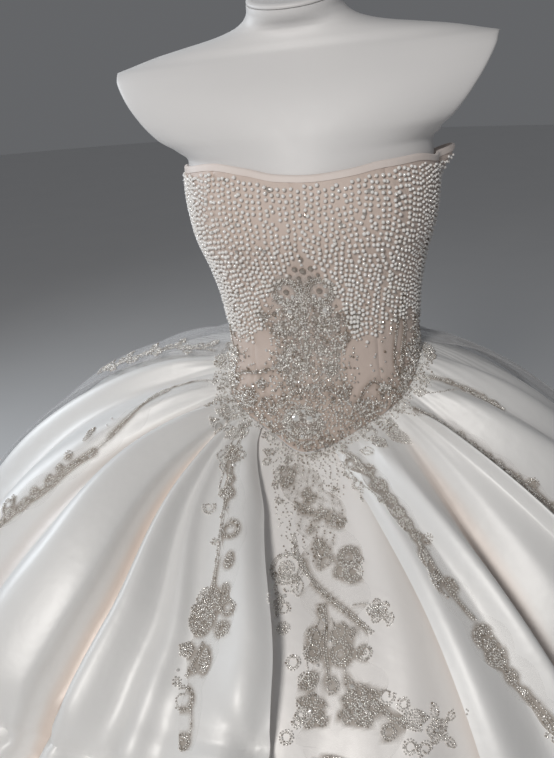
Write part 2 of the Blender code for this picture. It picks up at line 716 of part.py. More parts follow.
def gore_columns(side, from_fold, to_fold):
    """Where a gore's mesh columns stand, counted in fold lines."""
    rows = FOLDS[side]
    names = [row[0] for row in rows]
    columns = []
    for line in range(names.index(from_fold), names.index(to_fold)):
        steps = rows[line][1]
        columns.extend(line + k / steps for k in range(steps))
    columns.append(float(names.index(to_fold)))
    return columns


def build_skirt(materials, collection):
    """The centre panel, six gores with their folds and the sheer layer at the back."""
    half = SATIN_WALL / 2
    ts = np.linspace(0, 1, CENTRE_COLUMNS + 1)
    grid = grid_of(centre_point, ts, SKIRT_LEVELS, SURFACE_STEPS)
    add_wall("skirt_centre_front", grid, -half, half, materials["blush_satin"], collection)

    for name, side, from_fold, to_fold in GORE_ROWS:
        def surface(u, s, side=side):
            return skirt_point(side, u, s)

        columns = gore_columns(side, from_fold, to_fold)
        grid = grid_of(surface, columns, SKIRT_LEVELS, FOLD_STEPS)
        if to_fold == "centre_back":
            facing = -1 if np.sum(grid[1][-1] * (grid[0][-1] - INNER_POINT)) < 0 else 1
            grid[1][-1] = [facing * bell_normal(round(SIDE_SIGN[side] * math.pi, 6), s) for s in SKIRT_LEVELS]
        add_wall("skirt_" + name, grid, -half, half, materials["satin"], collection)

    for side in ("left", "right"):
        def sheer(t, s, side=side):
            return tulle_point(side, t, s)

        ts = np.linspace(0, 1, TULLE_COLUMNS + 1)
        grid = grid_of(sheer, ts, TULLE_LEVELS, SURFACE_STEPS)
        add_wall("tulle_overlay_" + side, grid, 0.0, TULLE_WALL, materials["tulle"], collection)


def path_value(path, item, t):
    """One value of a path's points at t from 0 to 1."""
    stations = np.linspace(0, 1, len(path))
    return curve_through(stations, [point[item] for point in path], t)


def scallop(t, count):
    """The leaf-like swelling of an applique's width along its length."""
    return 0.62 + 0.38 * abs(math.sin(math.pi * count * t))


def ribbon_outline(surface, path, scallops):
    """The two edges, in u and s, of a ribbon along a path of (u, s, half width in metres)."""
    steps = scallops * 4
    left = []
    right = []
    for k in range(steps + 1):
        t = k / steps
        u, s, width = (path_value(path, item, t) for item in range(3))
        ahead = [path_value(path, item, min(1, t + 0.01)) for item in (0, 1)]
        behind = [path_value(path, item, max(0, t - 0.01)) for item in (0, 1)]
        along_u = (surface(u + 0.05, s) - surface(u - 0.05, s)) / 0.1
        along_s = (surface(u, s + 0.005) - surface(u, s - 0.005)) / 0.01
        across = np.cross(np.cross(along_u, along_s), surface(*ahead) - surface(*behind))
        across = across / np.linalg.norm(across) * width * scallop(t, scallops)
        step = np.linalg.lstsq(np.column_stack([along_u, along_s]), across, rcond=None)[0]
        left.append((u - step[0], s - step[1]))
        right.append((u + step[0], s + step[1]))
    return left + right[::-1]


def oval_outline(angle, height, half_width, half_height, scallops):
    """A scalloped oval on the bodice, in angle and in the share of the panel's height."""
    outline = []
    for k in range(OVAL_SIDES):
        turn = 2 * math.pi * k / OVAL_SIDES
        swell = 1 + OVAL_SCALLOP * math.cos(scallops * turn)
        at_angle = angle + half_width / body_sizes(round(height, 5))[0] * swell * math.cos(turn)
        low = waist_seam(at_angle)
        high = neckline(at_angle) - BINDING_DEPTH - SEAM_GAP
        at_height = height + half_height * swell * math.sin(turn)
        outline.append((at_angle, (at_height - low) / (high - low)))
    return outline


def flat_slab(name, columns, levels, material, collection):
    """The cells of a wall's grid laid out flat, one unit to a cell and one unit thick."""
    points = np.array([[(i, j, 0.0) for j in range(levels)] for i in range(columns)], float)
    normals = np.zeros_like(points)
    normals[..., 2] = 1.0
    vertices, faces = wall_from(points, normals, 0.0, 1.0)
    return add_mesh(name, vertices, faces, material, collection)


def flat_cutter(name, outline, collection):
    """A flat outline, extruded right through the slab."""
    curve = bpy.data.curves.new(name, "CURVE")
    curve.dimensions = "2D"
    curve.fill_mode = "BOTH"
    curve.extrude = 2.0
    spline = curve.splines.new("POLY")
    spline.points.add(len(outline) - 1)
    for point, (x, y) in zip(spline.points, outline):
        point.co = (x, y, 0, 1)
    spline.use_cyclic_u = True
    guide = bpy.data.objects.new(name + "_curve", curve)
    collection.objects.link(guide)
    bpy.context.view_layer.update()
    evaluated = guide.evaluated_get(bpy.context.evaluated_depsgraph_get())
    mesh = bpy.data.meshes.new_from_object(evaluated)
    bpy.data.objects.remove(guide)
    solid = bmesh.new()
    solid.from_mesh(mesh)
    bmesh.ops.remove_doubles(solid, verts=solid.verts, dist=0.0001)
    bmesh.ops.recalc_face_normals(solid, faces=solid.faces)
    solid.to_mesh(mesh)
    solid.free()
    cutter = bpy.data.objects.new(name, mesh)
    collection.objects.link(cutter)
    cutter.hide_render = True
    cutter.display_type = "WIRE"
    return cutter


def lay_on(grid, low, high, place):
    """Carry a point of the flat slab to the wall's own facet that it belongs to."""
    points, normals = grid
    x = min(max(place[0], 0.0), points.shape[0] - 1.0001)
    y = min(max(place[1], 0.0), points.shape[1] - 1.0001)
    i, j = int(x), int(y)
    across, along = x - i, y - j
    offset = low + (high - low) * place[2]
    corners = points + normals * offset
    if across >= along:
        weights = ((i, j, 1 - across), (i + 1, j, across - along), (i + 1, j + 1, along))
    else:
        weights = ((i, j, 1 - along), (i, j + 1, along - across), (i + 1, j + 1, across))
    return sum(corners[a, b] * weight for a, b, weight in weights)


def add_applique(name, grid, columns, levels, outline, lift, material, collection, cutters):
    """A thin raised applique: its outline cut from the panel's own cells, moved out."""
    points, normals = outward(*grid, INNER_POINT)
    if np.sum(normals * grid[1]) < 0:
        columns = columns[::-1]
    order = np.argsort(columns)
    places = [(np.interp(u, np.array(columns)[order], np.arange(len(columns))[order]),
               np.interp(v, levels, np.arange(len(levels)))) for u, v in outline]
    piece = flat_slab(name, *points.shape[:2], material, collection)
    boolean = piece.modifiers.new("outline", "BOOLEAN")
    boolean.operation = "INTERSECT"
    boolean.object = flat_cutter(name + "_outline", places, cutters)
    bpy.context.view_layer.update()
    mesh = bpy.data.meshes.new_from_object(piece.evaluated_get(bpy.context.evaluated_depsgraph_get()))
    piece.modifiers.remove(boolean)
    low = lift + SEAM_GAP
    for vertex in mesh.vertices:
        vertex.co = lay_on((points, normals), low, low + APPLIQUE_WALL, vertex.co)
    mesh.shade_smooth()
    mesh.set_sharp_from_angle(angle=math.radians(50))
    piece.data = mesh


def line_at(side, angle, s):
    """The place among the fold lines that lies at an angle, on the outermost layer."""
    angles, _ = fold_lines(side, round(s, 5))
    lines = np.arange(len(angles))
    places = np.linspace(0, len(angles) - 1, 60 * (len(angles) - 1))
    found = np.array([curve_through(lines, angles, u) for u in places])
    return float(places[int(np.argmin(np.abs(found - math.radians(angle))))])


def build_appliques(materials, collection, cutters):
    """Beaded appliques: garlands on the gores, the cascade, the crest and the medallion."""
    cloth = (materials["applique"], collection, cutters)
    for name, (side, path, scallops) in SKIRT_APPLIQUES.items():
        def surface(u, s, side=side):
            return skirt_point(side, u, s)

        placed = [(line_at(side, angle, s), s, width) for angle, s, width in path]
        first = min(u for u, _, _ in placed)
        last = max(u for u, _, _ in placed)
        columns = [u for u in gore_columns(side, "front_edge", "centre_back")
                   if first - MARGIN_LINES < u < last + MARGIN_LINES]
        levels = [s for s in SKIRT_LEVELS if path[0][1] - MARGIN_ABOVE < s < path[-1][1] + MARGIN_BELOW]
        grid = grid_of(surface, columns, levels, FOLD_STEPS, 0.0)
        outline = ribbon_outline(surface, placed, scallops)
        add_applique("applique_" + name, grid, columns, levels, outline, SATIN_WALL / 2, *cloth)

    placed = []
    for angle, s, width in CENTRE_CASCADE:
        left, right = centre_edges(s)
        span = right - left + 2 * CENTRE_UNDERLAP
        placed.append(((math.radians(angle) - left + CENTRE_UNDERLAP) / span, s, width))
    levels = [s for s in SKIRT_LEVELS if s < CENTRE_CASCADE[-1][1] + MARGIN_BELOW]
    columns = np.linspace(0, 1, CENTRE_COLUMNS + 1)
    grid = grid_of(centre_point, columns, levels, SURFACE_STEPS, 0.0)
    outline = ribbon_outline(centre_point, placed, CENTRE_SCALLOPS)
    add_applique("applique_centre_cascade", grid, columns, levels, outline, SATIN_WALL / 2, *cloth)

    levels = np.linspace(0, 1, BODICE_LEVELS)
    left, right = (row[1:] for row in PANEL_ROWS if row[0].startswith("centre_front"))
    angles = np.concatenate([panel_angles(*left)[1:], panel_angles(*right)[1:-1]])
    grid = grid_of(bodice_surface, angles, levels, SURFACE_STEPS, 0.0)
    for name, angle, height, half_width, half_height, scallops in OVAL_ROWS:
        outline = oval_outline(math.radians(angle), height, half_width, half_height, scallops)
        add_applique("applique_" + name, grid, angles, levels, outline, BODICE_WALL, *cloth)


def main():
    for obj in list(bpy.data.objects):
        bpy.data.objects.remove(obj)
    materials = {name: make_material(name) for name in COLOURS}
    collection = make_collection("short_wedding_dress")
    cutters = make_collection("cutters")
    build_stand(materials, collection)
    build_form(materials, collection)
    build_bodice(materials, collection)
    build_skirt(materials, collection)
    build_appliques(materials, collection, cutters)


main()
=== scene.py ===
# Strapless ball-skirted wedding dress with a beaded bodice, on a limbless white dress form.
# Metres, +Z up, the front faces -Y. An angle round the body is 0 at the front and grows
# towards +X. On the skirt, s is 0 at the waist seam and 1 at the hem.
import math

import bpy
import numpy as np
from mathutils import Matrix, Vector
from mathutils.bvhtree import BVHTree


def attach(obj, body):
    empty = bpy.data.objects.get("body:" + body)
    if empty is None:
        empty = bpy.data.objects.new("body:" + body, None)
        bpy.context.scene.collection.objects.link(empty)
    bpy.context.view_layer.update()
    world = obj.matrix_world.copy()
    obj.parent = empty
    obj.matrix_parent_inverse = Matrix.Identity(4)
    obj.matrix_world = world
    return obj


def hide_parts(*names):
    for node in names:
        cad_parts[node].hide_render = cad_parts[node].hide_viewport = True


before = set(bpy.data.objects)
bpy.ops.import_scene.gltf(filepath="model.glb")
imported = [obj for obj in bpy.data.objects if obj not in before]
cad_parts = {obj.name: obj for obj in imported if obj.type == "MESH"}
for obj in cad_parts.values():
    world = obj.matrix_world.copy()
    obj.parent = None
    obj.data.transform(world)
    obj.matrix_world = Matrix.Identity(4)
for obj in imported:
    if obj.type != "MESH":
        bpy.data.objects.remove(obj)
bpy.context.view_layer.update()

# The stand. A turned steel plate lies on the floor, a tube rises from its middle, and a
# flange on top of the tube is screwed under the form. All edges are rounded by the lathe.
WAIST_Z = 1.04
SEAM_GAP = 0.0003
BASE_RADIUS = 0.17
BASE_THICKNESS = 0.008
POLE_RADIUS = 0.014
FLANGE_RADIUS = 0.045
FLANGE_THICKNESS = 0.008
FORM_FOOT = -0.300
SHARP_ANGLE = math.radians(50)


class Reading:
    """One output of a material's nodes. Arithmetic on it adds Math nodes."""

    def __init__(self, finish, socket):
        self.finish = finish
        self.socket = socket

    def maths(self, operation, *values):
        return self.finish.node("ShaderNodeMath", {"operation": operation}, dict(enumerate(values)))

    def __add__(self, other):
        return self.maths("ADD", self, other)

    def __sub__(self, other):
        return self.maths("SUBTRACT", self, other)

    def __rsub__(self, other):
        return self.maths("SUBTRACT", other, self)

    def __mul__(self, other):
        return self.maths("MULTIPLY", self, other)

    __radd__ = __add__
    __rmul__ = __mul__


class Finish:
    """A material. What is the same all over sits on its shader's sockets, the rest is linked."""

    def __init__(self, name, **sockets):
        self.material = bpy.data.materials.new(name)
        self.material.use_nodes = True
        self.tree = self.material.node_tree
        self.shader = self.tree.nodes["Principled BSDF"]
        for socket, value in sockets.items():
            self.feed(socket.replace("_", " "), value)

    def put(self, socket, value):
        """Link a reading to a socket, or set the socket to a plain value."""
        if isinstance(value, Reading):
            self.tree.links.new(value.socket, socket)
        else:
            socket.default_value = value

    def feed(self, socket, value):
        """The same for one of the shader's own sockets."""
        self.put(self.shader.inputs[socket], value)

    def node(self, kind, settings=None, sockets=None, output=0):
        """A node of any kind, with its settings and what its sockets get."""
        made = self.tree.nodes.new(kind)
        for name, value in (settings or {}).items():
            setattr(made, name, value)
        for name, value in (sockets or {}).items():
            self.put(made.inputs[name], value)
        return Reading(self, made.outputs[output])

    def noise(self, scale, stretch=(1, 1, 1), detail=3.0):
        """A noise from 0 to 1 that lies fixed in the piece."""
        place = self.node("ShaderNodeTexCoord", output="Object")
        place = self.node("ShaderNodeMapping", {}, {"Vector": place, "Scale": stretch})
        return self.node("ShaderNodeTexNoise", {}, {"Vector": place, "Scale": scale, "Detail": detail})

    def measured(self, name):
        """A number that the mesh carries at each point."""
        return self.node("ShaderNodeAttribute", {"attribute_name": name}, output="Fac")

    def colour(self, first, second, share):
        """A base colour between two others."""
        mix = {"data_type": "RGBA", "clamp_factor": True}
        colours = {6: (*first, 1), 7: (*second, 1), 0: share}
        self.feed("Base Color", self.node("ShaderNodeMix", mix, colours, output=2))

    def relief(self, height, depth):
        """Bumps as deep as the second value, in metres."""
        bump = self.node("ShaderNodeBump", {}, {"Height": height, "Distance": depth, "Strength": 1.0})
        self.feed("Normal", bump)


def stand_in_scene(name, data):
    """An object at the origin that shows a mesh, a lamp or a camera."""
    item = bpy.data.objects.new(name, data)
    bpy.context.scene.collection.objects.link(item)
    return item


def add_piece(name, points, faces, finish, slot, values=None):
    """A smooth-shaded object from points and faces, with any numbers that its points carry."""
    mesh = bpy.data.meshes.new(name)
    mesh.from_pydata(np.asarray(points, float).tolist(), [], [list(map(int, face)) for face in faces])
    for key, numbers in (values or {}).items():
        carried = mesh.attributes.new(key, "FLOAT", "POINT")
        carried.data.foreach_set("value", np.asarray(numbers, np.float32))
    mesh.materials.append(finish.material)
    mesh.shade_smooth()
    mesh.set_sharp_from_angle(angle=SHARP_ANGLE)
    piece = stand_in_scene(name, mesh)
    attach(piece, "root")
    return piece


def grid_faces(columns, rows, wrap=False):
    """The faces of a grid whose points run down one column after the other."""
    i, j = np.meshgrid(np.arange(columns if wrap else columns - 1), np.arange(rows - 1), indexing="ij")
    a = i * rows + j
    b = (i + 1) % columns * rows + j
    return np.stack([a, b, b + 1, a + 1], axis=-1).reshape(-1, 4)


def closed_round(grid):
    """Points and faces of a solid from rings of points, closed at both ends."""
    columns, rows = grid.shape[:2]
    points = grid.reshape(-1, 3)
    faces = grid_faces(columns, rows, wrap=True)
    corners = points[faces]
    facing = np.cross(corners[:, 2] - corners[:, 0], corners[:, 3] - corners[:, 1])
    outward = corners.mean(axis=1) - points.mean(axis=0)
    foot = [k * rows for k in range(columns)]
    top = [k * rows + rows - 1 for k in reversed(range(columns))]
    faces = faces.tolist() + [foot, top]
    if np.sum(facing * outward) < 0:
        return points, [face[::-1] for face in faces]
    return points, faces


def turned(radii, heights, segments=96):
    """Rings of a solid turned about the pole's axis."""
    turns = np.linspace(0, 2 * math.pi, segments, endpoint=False)
    radii, heights = np.array(radii), np.array(heights)
    return np.stack([
        np.outer(np.sin(turns), radii),
        -np.outer(np.cos(turns), radii),
        np.repeat(heights[None, :], segments, axis=0)], axis=-1)


def rounded_disc(radius, foot, top, edge):
    """Radii and heights of a disc with rounded rims."""
    turn = np.radians([0, 30, 60, 90])
    radii = np.concatenate([radius - edge + edge * np.sin(turn), radius - edge + edge * np.cos(turn)])
    heights = np.concatenate([foot + edge - edge * np.cos(turn), top - edge + edge * np.sin(turn)])
    return radii, heights


steel = Finish("brushed_steel", Metallic=1.0)
brushing = steel.noise(30.0, stretch=(1, 1, 40))
steel.colour((0.58, 0.58, 0.59), (0.72, 0.72, 0.73), brushing)
steel.feed("Roughness", 0.24 + 0.16 * brushing)
steel.relief(brushing, 0.00005)

foot_of_flange = WAIST_Z + FORM_FOOT - SEAM_GAP - FLANGE_THICKNESS
STAND = {
    "base_plate": rounded_disc(BASE_RADIUS, 0.0, BASE_THICKNESS, 0.002),
    "pole": rounded_disc(POLE_RADIUS, BASE_THICKNESS + SEAM_GAP, foot_of_flange - SEAM_GAP, 0.0006),
    "form_flange": rounded_disc(FLANGE_RADIUS, foot_of_flange, foot_of_flange + FLANGE_THICKNESS, 0.0015),
}
for node, (radii, heights) in STAND.items():
    part = add_piece("turned_" + node, *closed_round(turned(radii, heights)), steel, "stand_metal")
    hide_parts(node)

# The form. A limbless torso moulded in white plastic, smooth all over, with a flat slanted
# cut at each arm and a neck that ends in a separate flat cap.
TORSO_LEAN = math.radians(3.2)
NECK_TILT_FROM = 0.355
NECK_TOP = 0.392
NECK_TILT = 0.28
NECK_FORWARD = 0.014
CUT_ROUNDING = 0.007
NO_CUT = 0.300
LEAN_FROM = -0.12
LEAN_OVER = 0.16
BARE_FROM = 0.2
# Height above the waist, half width, depth to the front and to the back
body_rows = np.array([
    (-0.300, 0.142, 0.094, 0.106), (-0.200, 0.166, 0.106, 0.125), (-0.120, 0.156, 0.104, 0.112),
    (-0.060, 0.131, 0.097, 0.092), (-0.020, 0.122, 0.090, 0.083), (0.010, 0.121, 0.088, 0.080),
    (0.050, 0.124, 0.091, 0.083), (0.090, 0.132, 0.098, 0.090), (0.145, 0.147, 0.111, 0.097),
    (0.190, 0.151, 0.109, 0.100), (0.230, 0.150, 0.100, 0.100),
])
# The same for the shoulders and the neck, and the half width where the arms are cut off
shoulder_rows = np.array([
    (0.210, 0.1495, 0.104, 0.099, NO_CUT), (0.228, 0.1490, 0.099, 0.098, NO_CUT),
    (0.240, 0.164, 0.096, 0.097, 0.158), (0.256, 0.200, 0.092, 0.095, 0.173),
    (0.278, 0.230, 0.085, 0.091, 0.191), (0.303, 0.246, 0.074, 0.083, 0.208),
    (0.322, 0.243, 0.063, 0.073, 0.2185), (0.333, 0.229, 0.056, 0.065, 0.2225),
    (0.3395, 0.204, 0.052, 0.060, NO_CUT), (0.347, 0.172, 0.050, 0.057, NO_CUT),
    (0.353, 0.138, 0.048, 0.055, NO_CUT), (0.358, 0.108, 0.047, 0.053, NO_CUT),
    (0.363, 0.086, 0.046, 0.052, NO_CUT), (0.369, 0.069, 0.046, 0.051, NO_CUT),
    (0.376, 0.059, 0.047, 0.050, NO_CUT), (0.384, 0.054, 0.048, 0.049, NO_CUT),
    (NECK_TOP, 0.053, 0.049, 0.049, NO_CUT),
])


def through(xs, ys, x):
    """Smooth curves through the rows of a table, with no overshoot between them."""
    xs = np.asarray(xs, float)
    ys = np.asarray(ys, float)
    x = np.clip(np.asarray(x, float), xs[0], xs[-1])
    if ys.ndim == 1:
        ys = np.repeat(ys[:, None], x.size, axis=1)
    widths = np.diff(xs)
    secants = np.diff(ys, axis=0) / widths[:, None]
    before, after = secants[:-1], secants[1:]
    same_way = before * after > 0
    total = np.where(same_way, before + after, 1.0)
    between = np.where(same_way, 2 * before * after / total, 0.0)
    slopes = np.concatenate([secants[:1], between, secants[-1:]])
    i = np.clip(np.searchsorted(xs, x, side="right") - 1, 0, len(xs) - 2)
    n = np.arange(x.size)
    t = (x - xs[i]) / widths[i]
    level = (1 + 2 * t) * (1 - t) ** 2 * ys[i, n] + t * t * (3 - 2 * t) * ys[i + 1, n]
    return level + widths[i] * (t * (1 - t) ** 2 * slopes[i, n] - t * t * (1 - t) * slopes[i + 1, n])


def soft_step(t):
    """From 0 to 1, level at both ends."""
    t = np.clip(t, 0, 1)
    return t * t * (3 - 2 * t)


def lean(points):
    """Lean everything above the hips a little to the left, as the torso stands."""
    x, y, z = points.T
    height = z - WAIST_Z
    angle = TORSO_LEAN * soft_step((height - LEAN_FROM) / LEAN_OVER)
    return np.column_stack([
        x * np.cos(angle) - height * np.sin(angle), y,
        WAIST_Z + x * np.sin(angle) + height * np.cos(angle)])


def body_point(angle, height, out):
    """Points on the torso, moved out from it."""
    half_width, front, back = (through(body_rows[:, 0], body_rows[:, k], height) for k in (1, 2, 3))
    depth = np.where(np.cos(angle) > 0, front, back)
    return lean(np.column_stack([
        (half_width + out) * np.sin(angle), -(depth + out) * np.cos(angle), WAIST_Z + height]))


# Where the points of a section lie round the corner of a cut, which is at 1 and then at 0
LAST_CORNER = math.pi / 2 - 0.22
CLOSE_TO_CUT = np.array([0.96, 0.98, 0.992, 1.0])
BEYOND_CUT = np.array([0.06, 0.14, 0.28, 0.52, 0.76, 1.0])


def form_ring(half_width, front, back, cut, height):
    """One section of the form, with flat sides where the arms are cut off."""
    corner = min(math.asin(min(1.0, cut / half_width)), LAST_CORNER)
    near = np.concatenate([np.linspace(0, 0.93, 18), CLOSE_TO_CUT]) * corner
    beyond = corner + (math.pi / 2 - corner) * BEYOND_CUT
    quarter = np.concatenate([near, beyond])
    half = np.concatenate([quarter, math.pi - quarter[-2::-1]])
    angle = np.concatenate([half, 2 * math.pi - half[-2:0:-1]])
    x = half_width * np.sin(angle)
    share = np.clip(0.5 + 0.5 * (cut - np.abs(x)) / CUT_ROUNDING, 0, 1)
    x = np.sign(x) * (cut * (1 - share) + np.abs(x) * share - CUT_ROUNDING * share * (1 - share))
    y = -np.where(np.cos(angle) > 0, front, back) * np.cos(angle)
    raised = soft_step((height - NECK_TILT_FROM) / (NECK_TOP - NECK_TILT_FROM))
    return lean(np.column_stack([x, y - NECK_FORWARD * raised, WAIST_Z + height + NECK_TILT * raised * y]))


plastic = Finish("moulded_white_plastic", Coat_Weight=0.05, Coat_Roughness=0.4)
clouding = plastic.noise(9.0)
plastic.colour((0.71, 0.70, 0.70), (0.76, 0.75, 0.745), clouding)
plastic.feed("Roughness", 0.44 + 0.12 * plastic.noise(60.0))
plastic.relief(plastic.noise(420.0), 0.00006)

dressed_rows = body_rows[body_rows[:, 0] < BARE_FROM]
torso_rows = np.concatenate([
    np.column_stack([dressed_rows, np.full(len(dressed_rows), NO_CUT)]), shoulder_rows])
# Four sections to each step of the shoulders' table
fine_steps = np.arange(4 * (len(shoulder_rows) - 1)) / 4
heights = np.concatenate([
    np.linspace(FORM_FOOT, 0.18, 26),
    np.interp(fine_steps, np.arange(len(shoulder_rows)), shoulder_rows[:, 0]), [NECK_TOP]])
sizes = np.stack([through(torso_rows[:, 0], torso_rows[:, k], heights) for k in (1, 2, 3, 4)], axis=1)
rings = [form_ring(*sizes[k], heights[k]) for k in range(len(heights))]
torso = add_piece("form_shell", *closed_round(np.stack(rings, axis=1)), plastic, "form_shell")
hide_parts("form_torso")

# The cap's rings: how far each is inset and raised
CAP_RINGS = (
    (0.005, 0.0), (0.001, 0.0004), (0.0, 0.0016), (0.0, 0.0032), (0.001, 0.0044), (0.004, 0.005))
_, cap_width, cap_front, cap_back, cap_cut = shoulder_rows[-1]
rings = []
for inset, rise in CAP_RINGS:
    ring = form_ring(cap_width - inset, cap_front - inset, cap_back - inset, cap_cut, NECK_TOP)
    rings.append(ring + np.array([0, 0, SEAM_GAP + rise]))
cap = add_piece("form_neck_cap", *closed_round(np.stack(rings, axis=1)), plastic, "form_shell")
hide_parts("neck_cap")

# The bodice. Eight shaped panels of blush satin under fine net, sewn over bones and lined.
# A bone lies beside each seam, and the top of the right side-back panel stands away.
BODICE_CLEARANCE = 0.0015
BODICE_WALL = 0.002
BINDING_DEPTH = 0.006
CUP_ANGLE = math.radians(37)
CUP_SPREAD = math.radians(24)
CUP_HEIGHT = 0.150
CUP_TALL = 0.055
CUP_DEPTH = 0.009
GAPE_ANGLE = math.radians(108)
GAPE_SPREAD = math.radians(18)
GAPE_DEPTH = 0.028
GAPE_FROM = 0.165
GAPE_OVER = 0.048
BONE_RELIEF = 0.0006
BONE_FROM_SEAM = 0.006
BONE_HALF_WIDTH = 0.0022
SEAM_RELIEF = 0.0009
SEAM_HALF_WIDTH = 0.0015
METRES_A_DEGREE = 0.0023
LINING_GAP = 0.0002
PANEL_COLUMNS_A_DEGREE = 0.62
PANEL_ROWS = 44
# Heights of the two edges above the waist, by angle in degrees
neckline_rows = np.array([
    (-180, 0.165), (-130, 0.182), (-90, 0.221), (-64, 0.224), (-40, 0.229), (-22, 0.223),
    (-8, 0.215), (8, 0.212), (22, 0.214), (38, 0.218), (56, 0.218), (84, 0.210), (108, 0.214),
    (135, 0.182), (180, 0.165)])
waist_rows = np.array([
    (-180, -0.030), (-105, -0.034), (-78, -0.048), (-58, -0.076), (-40, -0.092), (-22, -0.110),
    (-6, -0.134), (8, -0.121), (22, -0.101), (34, -0.088), (48, -0.074), (64, -0.056),
    (80, -0.036), (105, -0.030), (180, -0.030)])
# Each panel's two seams in degrees, and the width and length of the cloth it was cut from
BACK_EDGE = 179.6
PANELS = {
    "back_left": (-BACK_EDGE, -138, 0.105, 0.205),
    "side_back_left": (-138, -90, 0.100, 0.250),
    "side_front_left": (-90, -40, 0.115, 0.310),
    "centre_front_left": (-40, -2, 0.110, 0.350),
    "centre_front_right": (-2, 38, 0.115, 0.345),
    "side_front_right": (38, 90, 0.115, 0.310),
    "side_back_right": (90, 138, 0.105, 0.250),
    "back_right": (138, BACK_EDGE, 0.105, 0.205),
}


def full_turn(angle):
    """Degrees from -180 to 180."""
    return (np.degrees(angle) + 180) % 360 - 180


def neckline(angle):
    """The bodice's upper edge, above the waist."""
    return through(*neckline_rows.T, full_turn(angle))


def waist_seam(angle):
    """The bodice's lower edge, above the waist."""
    return through(*waist_rows.T, full_turn(angle))


def pairs(firsts, seconds):
    """Every first value with every second one, as two long lists."""
    return (values.ravel() for values in np.meshgrid(firsts, seconds, indexing="ij"))


def bodice_point(angle, height, out):
    """Points on the bodice, whose inner face is at 0."""
    cups = 0.0
    for side in (-1, 1):
        across = (angle - side * CUP_ANGLE) / CUP_SPREAD
        up = (height - CUP_HEIGHT) / CUP_TALL
        cups = cups + CUP_DEPTH * np.exp(-across ** 2 - up ** 2)
    away = np.clip(1 - np.abs(angle - GAPE_ANGLE) / GAPE_SPREAD, 0, 1)
    gape = GAPE_DEPTH * soft_step(away) * soft_step((height - GAPE_FROM) / GAPE_OVER)
    return body_point(angle, height, BODICE_CLEARANCE + cups + gape + out)


def bodice_relief(angle):
    """How far the seams sink in and the bones stand out."""
    relief = 0.0
    for seam in [panel[0] for panel in PANELS.values()] + [180.0]:
        across = np.abs(np.degrees(angle) - seam) * METRES_A_DEGREE
        relief = relief + BONE_RELIEF * np.exp(-((across - BONE_FROM_SEAM) / BONE_HALF_WIDTH) ** 2)
        relief = relief - SEAM_RELIEF * np.exp(-(across / SEAM_HALF_WIDTH) ** 2)
    return relief


def closed_wall(inner, outer):
    """Points and faces of a thin closed wall between an inner and an outer grid."""
    columns, rows = outer.shape[:2]
    count = columns * rows
    faces = grid_faces(columns, rows)
    loop = np.concatenate([
        np.arange(columns) * rows,
        (columns - 1) * rows + np.arange(1, rows),
        np.arange(columns - 2, -1, -1) * rows + rows - 1,
        np.arange(rows - 2, 0, -1)])
    ahead = np.roll(loop, -1)
    rim = np.stack([ahead, loop, loop + count, ahead + count], axis=-1)
    corners = outer.reshape(-1, 3)[faces]
    facing = np.cross(corners[:, 2] - corners[:, 0], corners[:, 3] - corners[:, 1])
    out = (outer - inner).reshape(-1, 3)[faces].mean(axis=1)
    faces = np.concatenate([faces, faces[:, ::-1] + count, rim])
    if np.sum(facing * out) < 0:
        faces = faces[:, ::-1]
    return np.concatenate([outer.reshape(-1, 3), inner.reshape(-1, 3)]), faces


nude_satin = Finish("blush_satin_under_net", Roughness=0.5, Sheen_Weight=0.25, Sheen_Roughness=0.4)
mottling = nude_satin.noise(22.0, detail=4.0)
# Darker where beads lie close: partly the darker net under the beading, partly painted shade between the
# beads.
nude_satin.colour((0.68, 0.57, 0.51), (0.40, 0.32, 0.27), 0.22 * mottling + nude_satin.measured("beaded"))
net_holes = nude_satin.node("ShaderNodeTexVoronoi", {}, {
    "Vector": nude_satin.node("ShaderNodeTexCoord", output="Object"), "Scale": 900.0})
nude_satin.relief(net_holes, 0.0002)

cloth_points = []
cloth_faces = []


def remember_cloth(grid):
    """Keep an outer face, so that beads and appliques can be laid on it."""
    start = sum(len(points) for points in cloth_points)
    cloth_points.append(grid.reshape(-1, 3))
    cloth_faces.append(grid_faces(*grid.shape[:2]) + start)


bodice_panels = {}
for name, (first, last, cut_width, cut_length) in PANELS.items():
    columns = int((last - first) * PANEL_COLUMNS_A_DEGREE)
    angle, t = pairs(np.radians(np.linspace(first, last, columns)), np.linspace(0, 1, PANEL_ROWS))
    low = waist_seam(angle)
    height = low + (neckline(angle) - BINDING_DEPTH - SEAM_GAP - low) * t
    outer = bodice_point(angle, height, BODICE_WALL + bodice_relief(angle)).reshape(columns, -1, 3)
    inner = bodice_point(angle, height, LINING_GAP).reshape(columns, -1, 3)
    panel = add_piece("bodice_panel_" + name, *closed_wall(inner, outer), nude_satin, "bodice_cloth")
    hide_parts("bodice_" + name)
    remember_cloth(outer)
    bodice_panels[name] = (panel, np.degrees(angle), height)

# The binding and the closure. A bias strip of plain blush satin is rolled over the top
# edge, and a satin placket with nine covered buttons closes the centre back.
BINDING_WALL = 0.0031
BINDING_LAP = 0.0014
BINDING_ROLL = 0.4
BINDING_COLUMNS = 360
BINDING_ROWS = 7
BACK_RADIUS = 0.090
PLACKET_HALF_WIDTH = 0.007
PLACKET_WALL = 0.001
PLACKET_COLUMNS = 15
PLACKET_ROWS = 60
# The placket's two rows of stitching: where they lie from its middle to its edges, and their form
STITCHING_AT = 0.78
STITCHING_WIDTH = 0.06
STITCHING_DEPTH = 0.0003
BUTTON_COUNT = 9
BUTTON_RADIUS = 0.0055
BUTTON_HEIGHT = 0.0032

